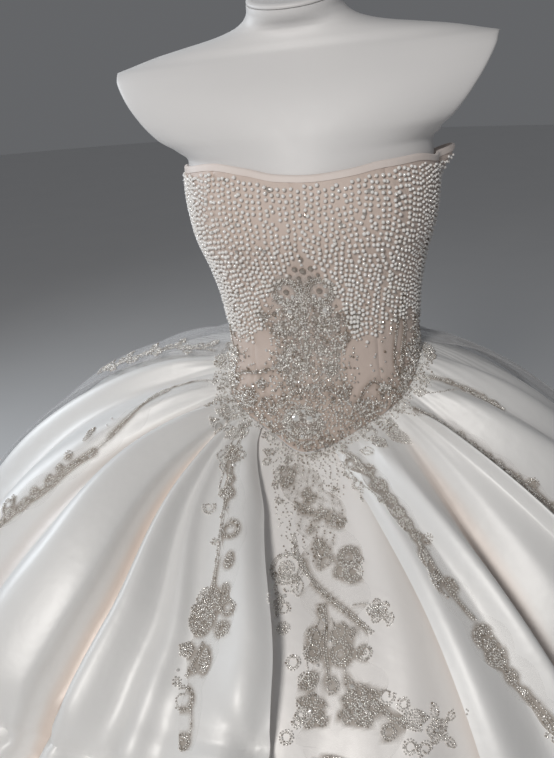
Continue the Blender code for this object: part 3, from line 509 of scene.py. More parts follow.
bias_satin = Finish("blush_bias_satin", Roughness=0.55, Sheen_Weight=0.3, Sheen_Roughness=0.35)
bias_satin.colour((0.76, 0.66, 0.61), (0.82, 0.75, 0.71), bias_satin.noise(40.0))
bias_satin.relief(bias_satin.noise(260.0, stretch=(1, 1, 0.4)), 0.0003)

angle, t = pairs(np.radians(np.linspace(-BACK_EDGE, BACK_EDGE, BINDING_COLUMNS)),
                 np.linspace(0, 1, BINDING_ROWS))
height = neckline(angle) - BINDING_DEPTH * (1 - t)
roll = 1 - BINDING_ROLL * np.clip(2 * t - 1, 0, 1) ** 3
lap = BINDING_LAP * (1 - t) ** 4
outer = bodice_point(angle, height - lap, BINDING_WALL * roll).reshape(BINDING_COLUMNS, -1, 3)
inner = bodice_point(angle, height, -SEAM_GAP).reshape(BINDING_COLUMNS, -1, 3)
binding = add_piece("rolled_binding", *closed_wall(inner, outer), bias_satin, "binding_satin")
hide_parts("neckline_binding")
remember_cloth(outer)

half_angle = PLACKET_HALF_WIDTH / BACK_RADIUS
across, t = pairs(np.linspace(-1, 1, PLACKET_COLUMNS), np.linspace(0, 1, PLACKET_ROWS))
angle = math.pi + half_angle * across
low = waist_seam(angle)
height = low + (neckline(angle) - BINDING_DEPTH - SEAM_GAP - low) * t
stitching = STITCHING_DEPTH * np.exp(-((np.abs(across) - STITCHING_AT) / STITCHING_WIDTH) ** 2)
under = BODICE_WALL + SEAM_GAP
outer = bodice_point(angle, height, under + PLACKET_WALL - stitching).reshape(PLACKET_COLUMNS, -1, 3)
inner = bodice_point(angle, height, under).reshape(PLACKET_COLUMNS, -1, 3)
placket = add_piece("button_placket", *closed_wall(inner, outer), bias_satin, "binding_satin")
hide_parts("back_placket")


def instancing_tree(name, ball_segments, ball_rings, smooth):
    """A node tree that sets a small ball on each point, turned to lie on the cloth."""
    tree = bpy.data.node_groups.new(name, "GeometryNodeTree")
    tree.interface.new_socket("Geometry", in_out="INPUT", socket_type="NodeSocketGeometry")
    tree.interface.new_socket("Geometry", in_out="OUTPUT", socket_type="NodeSocketGeometry")
    for label, kind in (("Radius", "Float"), ("Flatness", "Float"), ("Unevenness", "Float"),
                        ("Seed", "Int"), ("Finish", "Material")):
        tree.interface.new_socket(label, in_out="INPUT", socket_type="NodeSocket" + kind)
    given = tree.nodes.new("NodeGroupInput").outputs

    def node(kind, *inputs, **settings):
        made = tree.nodes.new(kind)
        for setting, value in settings.items():
            setattr(made, setting, value)
        for socket, value in inputs:
            if isinstance(value, bpy.types.NodeSocket):
                tree.links.new(value, made.inputs[socket])
            else:
                made.inputs[socket].default_value = value
        return made

    ball = node("GeometryNodeMeshUVSphere", ("Segments", ball_segments), ("Rings", ball_rings),
                ("Radius", given["Radius"]))
    size = node("GeometryNodeInputNamedAttribute", ("Name", "size"), data_type="FLOAT")
    facing = node("GeometryNodeInputNamedAttribute", ("Name", "facing"), data_type="FLOAT_VECTOR")
    spin = node("FunctionNodeRandomValue", ("Min", (0.0, 0.0, 0.0)), ("Max", (0.0, 0.0, 6.283)),
                ("Seed", given["Seed"]), data_type="FLOAT_VECTOR")
    turn = node("FunctionNodeAlignRotationToVector", ("Vector", facing.outputs[0]), axis="Z")
    uneven = node("FunctionNodeRandomValue", (2, -1.0), (3, 1.0), ("Seed", given["Seed"]),
                  data_type="FLOAT")

    def maths(operation, first, second):
        return node("ShaderNodeMath", (0, first), (1, second), operation=operation).outputs[0]

    factor = maths("ADD", maths("MULTIPLY", uneven.outputs[1], given["Unevenness"]), 1.0)
    wide = maths("MULTIPLY", factor, size.outputs[0])
    tall = maths("MULTIPLY", wide, given["Flatness"])
    scale = node("ShaderNodeCombineXYZ", (0, wide), (1, wide), (2, tall))
    spun = node("FunctionNodeRotateRotation", ("Rotation", turn.outputs[0]), (1, spin.outputs[0]),
                rotation_space="LOCAL")
    set_out = node("GeometryNodeInstanceOnPoints", ("Points", given["Geometry"]),
                   ("Instance", ball.outputs[0]), ("Rotation", spun.outputs[0]), ("Scale", scale.outputs[0]))
    real = node("GeometryNodeRealizeInstances", ("Geometry", set_out.outputs[0]))
    shaded = node("GeometryNodeSetShadeSmooth", ("Geometry", real.outputs[0]), ("Shade Smooth", smooth))
    finished = node("GeometryNodeSetMaterial", ("Geometry", shaded.outputs[0]),
                    ("Material", given["Finish"]))
    tree.links.new(finished.outputs[0], tree.nodes.new("NodeGroupOutput").inputs[0])
    return tree


def sewn_on(name, tree, places, facing, sizes, tones, finish, radius, flatness, unevenness, seed):
    """A mesh of small balls from a node tree: one at each place, facing away from the cloth."""
    mesh = bpy.data.meshes.new(name + "_places")
    mesh.from_pydata(np.asarray(places).tolist(), [], [])
    for key, numbers in (("size", sizes), ("tone", tones)):
        carried = mesh.attributes.new(key, "FLOAT", "POINT")
        carried.data.foreach_set("value", np.asarray(numbers, np.float32))
    vectors = mesh.attributes.new("facing", "FLOAT_VECTOR", "POINT")
    vectors.data.foreach_set("vector", np.asarray(facing, np.float32).ravel())
    holder = stand_in_scene(name + "_places", mesh)
    modifier = holder.modifiers.new("sewn_on", "NODES")
    modifier.node_group = tree
    given = {"Radius": radius, "Flatness": flatness, "Unevenness": unevenness, "Seed": seed,
             "Finish": finish.material}
    for label, value in given.items():
        modifier[tree.interface.items_tree[label].identifier] = value
    bpy.context.view_layer.update()
    made = bpy.data.meshes.new_from_object(holder.evaluated_get(bpy.context.evaluated_depsgraph_get()))
    holder.modifiers.remove(modifier)
    bpy.data.objects.remove(holder)
    for attribute in [a.name for a in made.attributes if a.name in ("size", "facing")]:
        made.attributes.remove(made.attributes[attribute])
    made.name = name
    piece = stand_in_scene(name, made)
    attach(piece, "root")
    return piece


dome_tree = instancing_tree("covered_buttons", 16, 10, True)
centre_back = np.full(BUTTON_COUNT, math.pi)
bottom = float(waist_seam(centre_back)[0])
spacing = (float(neckline(centre_back)[0]) - bottom) / BUTTON_COUNT
heights = bottom + (np.arange(BUTTON_COUNT) + 0.5) * spacing
places = bodice_point(centre_back, heights, under + PLACKET_WALL + BUTTON_HEIGHT + 2 * SEAM_GAP)
straight_back = np.tile([0.0, 1.0, 0.0], (BUTTON_COUNT, 1))
ones = np.ones(BUTTON_COUNT)
buttons = sewn_on("covered_buttons", dome_tree, places, straight_back, ones, ones, bias_satin,
                  BUTTON_RADIUS, BUTTON_HEIGHT / BUTTON_RADIUS, 0.0, 1)
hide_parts(*[f"back_button_{number + 1}" for number in range(BUTTON_COUNT)])

# The skirt. Six gores of ivory duchess satin are pleated into the waist seam and caught up
# here and there, over a plain centre panel of blush satin that lies under both front edges.
HEM_BELOW_WAIST = 0.57
HEM_RADIUS = 0.575
HEM_RADIUS_LEAN = 0.045
HEM_SLOPE = math.radians(82)
HEM_PULL = 0.36
WAIST_PULL = 0.40
# How steeply the skirt leaves the waist, in degrees, and how that sways round the body
WAIST_SLOPE = (17, 8, 3)
SKIRT_START_OUT = 0.0030
SKIRT_START_DROP = 0.0014
SATIN_WALL = 0.0015
# Fold lines from the front edge to the back: angles in degrees at four levels, and rises in
# metres at three
ANGLE_STATIONS = (0.0, 0.15, 0.40, 1.0)
RISE_STATIONS = (0.0, 0.10, 0.35, 1.0)
LEFT_FOLDS = [
    ("front_edge", 2, 27, 9.5, 1.5, 0, 0.007, 0.020, 0.022),
    ("front_roll", 2, 30, 14, 5, 6, 0.014, 0.030, 0.036),
    ("inner_valley", 1, 34, 23, 13, 15, 0.001, 0.003, -0.004),
    ("small_ridge", 1, 36, 26, 16, 20, 0.005, 0.010, 0.018),
    ("small_valley", 1, 37.5, 28, 19, 25, 0.003, 0.002, 0.000),
    ("bright_ridge", 2, 39, 31, 24, 30, 0.012, 0.026, 0.036),
    ("deep_valley", 1, 42, 35.5, 28.5, 35, -0.010, -0.018, -0.014),
    ("under_lip", 1, 42.6, 37.3, 30.7, 37.0, 0.000, 0.004, 0.006),
    ("great_lip", 2, 43, 38, 31.5, 38, 0.010, 0.023, 0.027),
    ("great_roll", 3, 50, 47, 40, 47, 0.024, 0.046, 0.052),
    ("garland_valley", 2, 58, 57, 54, 60, -0.006, -0.010, -0.010),
    ("garland_ridge", 2, 65, 65, 65, 69, 0.010, 0.014, 0.024),
    ("side_valley", 2, 73, 76, 77, 79, -0.004, -0.006, -0.008),
    ("side_ridge", 2, 82, 84, 85, 89, 0.014, 0.020, 0.032),
    ("valley_1", 2, 93, 94, 95, 100, -0.004, -0.006, -0.012),
    ("ridge_1", 2, 104, 105, 106, 111, 0.004, 0.006, 0.036),
    ("valley_2", 2, 115, 116, 117, 121, -0.005, -0.008, -0.010),
    ("ridge_2", 2, 127, 127, 128, 132, 0.004, 0.006, 0.034),
    ("valley_3", 2, 138, 138, 139, 143, -0.005, -0.008, -0.014),
    ("ridge_3", 2, 149, 149, 150, 153, 0.004, 0.006, 0.036),
    ("valley_4", 2, 160, 160, 160, 162, -0.005, -0.008, -0.010),
    ("ridge_4", 2, 170, 170, 170, 171, 0.004, 0.006, 0.030),
    ("centre_back", 1, 180, 180, 180, 180, -0.004, -0.006, -0.010),
]
RIGHT_FOLDS = [
    ("front_edge", 1, 8, 15.5, 20.5, 26, 0.004, 0.014, 0.014),
    ("front_lip", 1, 12, 18, 23, 30, 0.012, 0.022, 0.030),
    ("garland_trough", 2, 17, 22, 28, 36, 0.006, 0.014, 0.014),
    ("inner_ridge", 2, 23, 27, 32.5, 43, 0.016, 0.032, 0.044),
    ("deep_valley", 2, 37, 35, 36.5, 49, -0.010, -0.016, -0.016),
    ("great_roll", 2, 41, 41.5, 44.5, 57, 0.004, 0.014, 0.044),
    ("under_edge", 1, 45.3, 46.7, 50.7, 64, 0.012, 0.022, 0.032),
    ("great_edge", 2, 46, 47.6, 51.8, 65, 0.028, 0.040, 0.045),
    ("garland_valley", 2, 53, 56, 60, 73, -0.005, -0.008, -0.010),
    ("side_ridge", 2, 61, 68, 73, 83, 0.014, 0.024, 0.036),
    ("side_valley", 2, 70, 76, 82, 92, -0.002, -0.004, -0.008),
    ("rear_ridge", 2, 80, 86, 91, 101, 0.010, 0.016, 0.036),
    ("valley_1", 2, 91, 96, 100, 110, -0.004, -0.006, -0.012),
    ("ridge_1", 2, 102, 106, 109, 119, 0.004, 0.006, 0.036),
    ("valley_2", 2, 113, 116, 119, 128, -0.005, -0.008, -0.010),
    ("ridge_2", 2, 125, 127, 129, 137, 0.004, 0.006, 0.032),
    ("valley_3", 2, 137, 138, 140, 147, -0.005, -0.008, -0.014),
    ("ridge_3", 2, 148, 149, 150, 156, 0.004, 0.006, 0.036),
    ("valley_4", 2, 159, 160, 160, 164, -0.005, -0.008, -0.010),
    ("ridge_4", 2, 169, 170, 170, 172, 0.004, 0.006, 0.032),
    ("centre_back", 1, 180, 180, 180, 180, -0.004, -0.006, -0.010),
]
FOLDS = {"left": LEFT_FOLDS, "right": RIGHT_FOLDS}
SIDE_SIGN = {"left": -1, "right": 1}
# Where the satin is caught up: side, angle in degrees, s and depth
PICK_UPS = [
    ("left", 3, 0.50, 0.018), ("left", 23, 0.60, 0.018), ("left", 35, 0.64, 0.022),
    ("right", 44, 0.66, 0.026), ("left", 84, 0.62, 0.020), ("right", 80, 0.64, 0.022),
    ("left", 128, 0.62, 0.018), ("right", 129, 0.64, 0.018), ("left", 169, 0.62, 0.016),
]
WAIST_RADIUS = 0.12
RADIUS_GAIN = 0.45
SLANT_LENGTH = 0.75
PICK_UP_REACH = 0.035
EYE_DEPTH = 0.014
EYE_REACH = 0.013
TUCK_DEPTH = 0.0035
TUCK_REACH = 0.085
TUCKS_ROUND_A_CATCH = 7
GATHER_DEPTH = 0.0011
GATHER_PITCH = 3.3
DRAG_DEPTH = 0.0016
HEM_STITCH_AT = 0.975
HEM_STITCH_DEPTH = 0.0006
FOLD_SHADE_DEPTH = 0.014
# Each gore's two seams, by fold, and the width and length that it was cut to
GORES = {
    "left_front": ("left", "front_edge", "deep_valley", 0.44, 0.72),
    "left_side": ("left", "deep_valley", "side_valley", 0.62, 0.74),
    "left_back": ("left", "side_valley", "centre_back", 1.30, 0.74),
    "right_front": ("right", "front_edge", "deep_valley", 0.32, 0.72),
    "right_side": ("right", "deep_valley", "side_valley", 0.58, 0.72),
    "right_back": ("right", "side_valley", "centre_back", 1.10, 0.72),
}
COLUMNS_TO_A_STEP = 6
LEVELS = 104
# Half the steps between the places that the bell's directions are taken from, in radians and
# in s, and the least s that they are taken at
TURN_STEP = 0.01
S_STEP = 0.005
S_LEAST = 0.006


def unit(vectors):
    return vectors / np.linalg.norm(vectors, axis=-1, keepdims=True)


def bell_point(angle, s):
    """Points on the plain bell of the skirt, without its folds."""
    start = body_point(angle, waist_seam(angle) - SKIRT_START_DROP, SKIRT_START_OUT)
    p0 = np.column_stack([np.hypot(start[:, 0], start[:, 1]), start[:, 2]])
    hem = HEM_RADIUS - HEM_RADIUS_LEAN * np.sin(angle)
    p3 = np.column_stack([hem, np.full(hem.size, WAIST_Z - HEM_BELOW_WAIST)])
    reach = np.linalg.norm(p3 - p0, axis=1)[:, None]
    steady, tilt, sway = WAIST_SLOPE
    leaving = np.radians(steady + tilt * np.sin(angle) + sway * np.cos(2 * angle))
    p1 = p0 + WAIST_PULL * reach * np.column_stack([np.cos(leaving), -np.sin(leaving)])
    p2 = p3 + HEM_PULL * reach * np.array([-math.cos(HEM_SLOPE), math.sin(HEM_SLOPE)])
    t = s[:, None]
    r, z = ((1 - t) ** 3 * p0 + 3 * (1 - t) ** 2 * t * p1 + 3 * (1 - t) * t * t * p2 + t ** 3 * p3).T
    start_angle = np.arctan2(start[:, 0], -start[:, 1])
    turn = (angle - start_angle + math.pi) % (2 * math.pi) - math.pi
    heading = start_angle + turn * s
    return np.column_stack([r * np.sin(heading), -r * np.cos(heading), z])


def bell_frame(angle, s):
    """The bell's outward normal, and its directions to the right and down."""
    level = np.maximum(s, S_LEAST)
    right = bell_point(angle + TURN_STEP, level) - bell_point(angle - TURN_STEP, level)
    down = bell_point(angle, level + S_STEP) - bell_point(angle, level - S_STEP)
    right, down = unit(right), unit(down)
    return unit(np.cross(down, right)), right, down


def fold_at(side, u, s):
    """Angles round the bell and rises above it, where u counts fold lines from the front."""
    rows = FOLDS[side]
    angles = np.stack([through(ANGLE_STATIONS, row[2:6], s) for row in rows])
    rises = np.stack([through(RISE_STATIONS, (0.0,) + row[6:9], s) for row in rows])
    lines = np.arange(len(rows))
    return np.radians(through(lines, angles, u)), through(lines, rises, u)


def caught_up(side, angle, s):
    """How far the catches draw the satin in, and the tucks that run out from them."""
    pull = 0.0
    for at_side, at_angle, at_s, depth in PICK_UPS:
        if at_side != side:
            continue
        across = (angle - math.radians(at_angle)) * (WAIST_RADIUS + RADIUS_GAIN * at_s)
        along = (s - at_s) * SLANT_LENGTH
        away = np.hypot(across, along)
        pull = pull - depth * np.exp(-(away / PICK_UP_REACH) ** 2)
        pull = pull - EYE_DEPTH * np.exp(-(away / EYE_REACH) ** 2)
        around = np.arctan2(along, across)
        tucks = np.cos(TUCKS_ROUND_A_CATCH * around + at_angle)
        pull = pull + TUCK_DEPTH * tucks * (away / (0.02 + away)) * np.exp(-(away / TUCK_REACH) ** 2)
    return pull


def creases(side, angle, s):
    """Small gathers at the waist, slack drag lines below them and a stitched hem."""
    degrees = np.degrees(angle) * (1 if side == "right" else 1.07)
    gathers = np.sin(2 * math.pi * (degrees / GATHER_PITCH + 0.35 * np.sin(degrees / 8)))
    gathers = GATHER_DEPTH * gathers * soft_step(s / 0.03) * soft_step((0.24 - s) / 0.2)
    gathers = gathers * (0.35 + 0.65 * soft_step((degrees - 80) / 20))
    slack = np.sin(degrees / 5.2 + 9 * s + 1.3 * np.sin(degrees / 17 + 4 * s))
    slack = slack * np.sin(3.1 * s + degrees / 23)
    drags = DRAG_DEPTH * slack * soft_step(s / 0.15)
    quiet = 0.6 + 0.4 * soft_step((95 - degrees) / 15)
    stitched = HEM_STITCH_DEPTH * np.exp(-((s - HEM_STITCH_AT) / 0.004) ** 2)
    return (gathers + drags) * quiet - stitched


def skirt_grid(side, u, s):
    """A grid of points on the folded skirt, and how much painted shade each takes from lying deep in a fold.
    """
    columns, rows = len(u), len(s)
    u, s = pairs(u, s)
    angle, rise = fold_at(side, u, s)
    lifted = rise + caught_up(side, angle, s) + creases(side, angle, s)
    turned_angle = SIDE_SIGN[side] * angle
    normal, _, _ = bell_frame(turned_angle, s)
    points = bell_point(turned_angle, s) + normal * lifted[:, None]
    # Painted shade: deep in the folds the satin's colour turns darker and warmer, standing in for shade and
    # warm light bounced inside them.
    hollow = soft_step((-0.001 - rise) / FOLD_SHADE_DEPTH) * soft_step(s / 0.08)
    return points.reshape(columns, rows, 3), hollow.reshape(columns, rows)


def grid_normals(points):
    """Unit normals of a grid, pointing away from the middle of the skirt."""
    normals = np.cross(np.gradient(points, axis=0), np.gradient(points, axis=1))
    normals = normals / np.maximum(np.linalg.norm(normals, axis=2), 1e-12)[..., None]
    outward = points - np.array([0, 0, WAIST_Z - 0.25])
    return normals if np.sum(normals * outward) > 0 else -normals


def satin(name, light, deep, roughness):
    """Duchess satin: close warp threads, a soft sheen, and a painted warm shade inside its folds."""
    finish = Finish(name, Metallic=0.12, Sheen_Weight=0.2, Sheen_Roughness=0.4, Specular_IOR_Level=0.6)
    threads = finish.noise(700.0, stretch=(1, 1, 0.15), detail=1.0)
    slubs = finish.noise(14.0, detail=4.0)
    # The second colour is painted fold shade, mixed in by the share that each point carries.
    finish.colour(light, deep, finish.measured("hollow") * (0.75 + 0.4 * slubs))
    finish.feed("Roughness", roughness + 0.06 * slubs + 0.03 * threads)
    finish.relief(0.7 * finish.noise(38.0, detail=2.0) + 0.02 * threads, 0.0012)
    return finish


# Each satin's second colour is its painted shade deep in the folds.
ivory_satin = satin("ivory_duchess_satin", (0.85, 0.845, 0.835), (0.74, 0.65, 0.59), 0.46)
blush_satin = satin("blush_duchess_satin", (0.92, 0.895, 0.875), (0.77, 0.68, 0.62), 0.45)

GORE_SHARE = 0.62
levels = np.linspace(0, 1, LEVELS) ** 1.12


def satin_piece(name, points, hollow, finish, slot):
    """A wall of satin on both sides of a grid of points, each point carrying its share of painted fold shade.
    """
    reach = grid_normals(points) * SATIN_WALL / 2
    remember_cloth(points + reach)
    wall = closed_wall(points - reach, points + reach)
    return add_piece(name, *wall, finish, slot, {"hollow": np.tile(hollow, 2)})


for name, (side, from_fold, to_fold, cut_width, cut_length) in GORES.items():
    names = [row[0] for row in FOLDS[side]]
    first, last = names.index(from_fold), names.index(to_fold)
    lines = [line + k / (row[1] * COLUMNS_TO_A_STEP)
             for line, row in enumerate(FOLDS[side][:last]) if line >= first
             for k in range(row[1] * COLUMNS_TO_A_STEP)] + [last]
    points, hollow = skirt_grid(side, np.array(lines, float), levels)
    gore = satin_piece("satin_gore_" + name, points, hollow.ravel(), ivory_satin, "ivory_satin")
    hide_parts("skirt_" + name)

CENTRE_UNDERLAP = math.radians(3)
CENTRE_SET_BACK = 0.0022
CENTRE_DEPTH = 0.016
CENTRE_WAVE = 0.004
CENTRE_WAVES = 3
CENTRE_RIPPLE = 0.0012
CENTRE_RIPPLES = 7
CENTRE_COLUMNS = 44
t, s = pairs(np.linspace(0, 1, CENTRE_COLUMNS), levels)
edge = {side: through(ANGLE_STATIONS, FOLDS[side][0][2:6], s) for side in FOLDS}
left_edge, right_edge = -np.radians(edge["left"]), np.radians(edge["right"])
angle = left_edge - CENTRE_UNDERLAP + (right_edge - left_edge + 2 * CENTRE_UNDERLAP) * t
depth = CENTRE_SET_BACK + CENTRE_DEPTH * soft_step(s / 0.25)
wave = CENTRE_WAVE * soft_step(s / 0.3) * np.sin(CENTRE_WAVES * math.pi * t + 4 * s)
ripple = CENTRE_RIPPLE * np.sin(CENTRE_RIPPLES * math.pi * t + 9 * s) * soft_step(s / 0.2)
normal, _, _ = bell_frame(angle, s)
points = bell_point(angle, s) + normal * (wave + ripple - depth)[:, None]
# Painted shade along both edges of the centre panel, where the gores' front edges lie over it.
shade = soft_step((np.abs(2 * t - 1) - 0.75) / 0.25)
centre_panel = satin_piece("satin_centre_panel", points.reshape(CENTRE_COLUMNS, LEVELS, 3), shade,
                           blush_satin, "blush_satin")
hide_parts("skirt_centre_front")

# The sheer layer. Two widths of soft tulle are gathered into the back half of the waist
# seam and hang loose over the satin, open at the hem.
TULLE_FROM = {"left": math.radians(88), "right": math.radians(106)}
TULLE_LIFT = 0.0016
TULLE_RISE = 0.013
TULLE_FLARE = 0.033
TULLE_WAVE = 0.006
TULLE_WAVES = 10
TULLE_GATHER = 0.0012
TULLE_GATHERS = 46
# The first and the last s of the tulle
TULLE_TOP = 0.010
TULLE_HEM = 0.985
TULLE_WALL = 0.0008
TULLE_COLUMNS = 116
TULLE_ROWS = 52

tulle = Finish("soft_tulle", Roughness=0.75, Sheen_Weight=0.4, Sheen_Roughness=0.5)
misting = tulle.noise(26.0, stretch=(1, 1, 0.3))
tulle.colour((0.60, 0.61, 0.63), (0.78, 0.77, 0.77), misting)
tulle.feed("Alpha", 0.16 + 0.16 * misting)

tulle_tops = {}
for side, cut in (("left", (1.45, 0.73)), ("right", (1.10, 0.71))):
    t, s = pairs(np.linspace(0, 1, TULLE_COLUMNS), np.linspace(TULLE_TOP, TULLE_HEM, TULLE_ROWS))
    angle = TULLE_FROM[side] + (math.pi - 0.002 - TULLE_FROM[side]) * t
    rise = TULLE_LIFT + TULLE_RISE * soft_step(s / 0.12) + TULLE_FLARE * soft_step((s - 0.3) / 0.7)
    wave = TULLE_WAVE * soft_step(s / 0.3) * np.cos(TULLE_WAVES * math.pi * t)
    gathers = TULLE_GATHER * np.sin(TULLE_GATHERS * math.pi * t + 2 * np.sin(9 * t))
    gathers = gathers * soft_step(s / 0.08) * (1.2 - 0.6 * s)
    normal, _, _ = bell_frame(SIDE_SIGN[side] * angle, s)
    points = bell_point(SIDE_SIGN[side] * angle, s) + normal * (rise + wave + gathers)[:, None]
    points = points.reshape(TULLE_COLUMNS, TULLE_ROWS, 3)
    outer = points + grid_normals(points) * TULLE_WALL
    overlay = add_piece("sheer_overlay_" + side, *closed_wall(points, outer), tulle, "tulle")
    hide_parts("tulle_overlay_" + side)
    "satin_gore_" + side + "_back"
    GORE_SHARE * cut[0] * cut[1]
    tulle_tops[side] = outer

# The appliques. Each is a scalloped strip of fine net, sewn with rows of small glass beads
# in scrolls, rings, leaves and flowers, and stitched down over the folds.
BEAD_RADIUS = 0.00118
BEAD_FLATNESS = 0.92
BEAD_UNEVENNESS = 0.08
# How far a bead's middle lies above the cloth, as a share of its radius
BEAD_SEAT = 0.8
BEAD_PITCH = 0.0026
ROW_PITCH = 0.0023
BEAD_JITTER = 0.00028
# A stone's size is its width, so its radius is half of that
STONE_RADIUS = 0.5
STONE_FLATNESS = 0.75
STONE_LIFT = 0.0010
NET_WALL = 0.0003
NET_LIFT = 0.0002
MILLIMETRE = 0.001
NET_SHADE_REACH = 0.0038
NET_SHADE_FULL = 5.0
SMOKY_TONE = 0.8
STREW_RADIUS = 0.115
LAID_FROM = 0.09
LAID_THROUGH = 0.2
cloth = BVHTree.FromPolygons(np.concatenate(cloth_points).tolist(), np.concatenate(cloth_faces).tolist())
rng = np.random.default_rng(11)


def skirt_anchor(angle, s):
    """Places on the plain bell with their directions out, right and down."""
    angle, s = np.radians(np.atleast_1d(angle).astype(float)), np.atleast_1d(s).astype(float)
    return (bell_point(angle, s), *bell_frame(angle, s))


def bodice_anchor(angle, height):
    """Places on the bodice with their directions out, right and down."""
    angle, height = np.radians(np.atleast_1d(angle).astype(float)), np.atleast_1d(height).astype(float)
    at = bodice_point(angle, height, BODICE_WALL)
    right, left = (bodice_point(angle + step, height, BODICE_WALL) for step in (0.01, -0.01))
    down, up = (bodice_point(angle, height + step, BODICE_WALL) for step in (-0.002, 0.002))
    right, down = unit(right - left), unit(down - up)
    return at, unit(np.cross(down, right)), right, down


def laid_on(ground, points, normals, lift):
    """Drop points on the cloth under them, from outside, and lift them clear of it."""
    places = []
    facings = []
    for point, normal in zip(points, normals):
        direction = Vector(normal)
        start = Vector(point) + direction * LAID_FROM
        hit, facing, _, _ = ground.ray_cast(start, -direction, LAID_THROUGH)
        if hit is None:
            hit, facing, _, _ = ground.find_nearest(Vector(point))
        if facing.dot(direction) < 0:
            facing = -facing
        places.append(hit + facing * lift)
        facings.append(facing)
    return np.array(places), np.array(facings)


def beside(x, y, rows, taper=0.0):
    """Flat places in rows beside a flat curve."""
    length = np.concatenate([[0], np.cumsum(np.hypot(np.diff(x), np.diff(y)))])
    heading = np.unwrap(np.arctan2(np.gradient(y), np.gradient(x)))
    found = []
    for row in range(rows):
        along = np.arange((row % 2) * BEAD_PITCH / 2, length[-1] * (1 - taper * (row > 0)), BEAD_PITCH)
        off = (row - (rows - 1) / 2) * ROW_PITCH
        turn = np.interp(along, length, heading)
        found.append(np.column_stack([
            np.interp(along, length, x) - off * np.sin(turn),
            np.interp(along, length, y) + off * np.cos(turn)]))
    return np.concatenate(found)


def ring(radius):
    """A closed ring of beads in two rows."""
    turn = np.linspace(0, 2 * math.pi, 60)
    return beside((radius - ROW_PITCH / 2) * np.cos(turn), (radius - ROW_PITCH / 2) * np.sin(turn), 2)


def hook(radius):
    """A scroll: an open ring whose upper end runs on into a small inner curl."""
    turn = np.linspace(0, 1, 90)
    heading = math.radians(45) - turn * math.radians(420)
    reach = radius * (1 - 0.55 * soft_step((turn - 0.35) / 0.65))
    return beside(reach * np.cos(heading), reach * np.sin(heading), 2, 0.3)


def disc(radius, hole=0.0):
    """A filled round of beads."""
    found = [np.zeros((1, 2))] if hole == 0 else []
    for reach in np.arange(max(ROW_PITCH, hole), radius + 1e-6, ROW_PITCH):
        turn = np.arange(0, 2 * math.pi - 0.2, BEAD_PITCH * 0.95 / reach) + reach * 900
        found.append(np.column_stack([reach * np.cos(turn), reach * np.sin(turn)]))
    return np.concatenate(found)


def donut(radius):
    """A filled round of beads with a bare middle."""
    return disc(radius, hole=max(radius * 0.4, ROW_PITCH))


def oval(radius):
    """A filled round of beads, twice as long as wide."""
    wide = disc(radius)
    long = np.concatenate([wide + [0, -radius * 0.8], wide + [0, radius * 0.8]])
    return long[(np.abs(long[:, 1]) > radius * 0.8) | (rng.random(len(long)) < 0.5)]


def flower(radius):
    """A filled middle with five or six petals, each a small ring."""
    petals = 6 if radius > 0.014 else 5
    petal = radius * 0.40
    found = [disc(radius * 0.34)]
    for number in range(petals):
        turn = 2 * math.pi * number / petals + 0.4
        around = donut(petal) if petal > 0.005 else disc(petal)
        found.append(around + (radius - petal) * np.array([math.cos(turn), math.sin(turn)]))
    return np.concatenate(found)


def leaf(length):
    """A pointed leaf that rises from its anchor: an outline and a midrib."""
    t = np.linspace(0, 1, 30)
    bow = 0.24 * length * np.sin(math.pi * t) ** 0.8
    found = [beside(side * bow, t * length, 1) for side in (-1, 1)]
    found.append(beside(0 * t, t * length * 0.85, 1))
    return np.concatenate(found)


def full_leaf(length):
    """A pointed leaf, filled with beads."""
    t = np.linspace(0, 1, 30)
    bow = 0.25 * length * np.sin(math.pi * t) ** 0.8
    count = max(1, int(round(0.25 * length / ROW_PITCH)))
    lines = [beside(share / count * bow, t * length, 1) for share in range(-count, count + 1)]
    return np.concatenate(lines)


MOTIFS = {made.__name__: made for made in (ring, hook, disc, donut, oval, flower, leaf, full_leaf)}
BRIGHT_SHARE = 0.50
PLAIN_TONE = 0.48


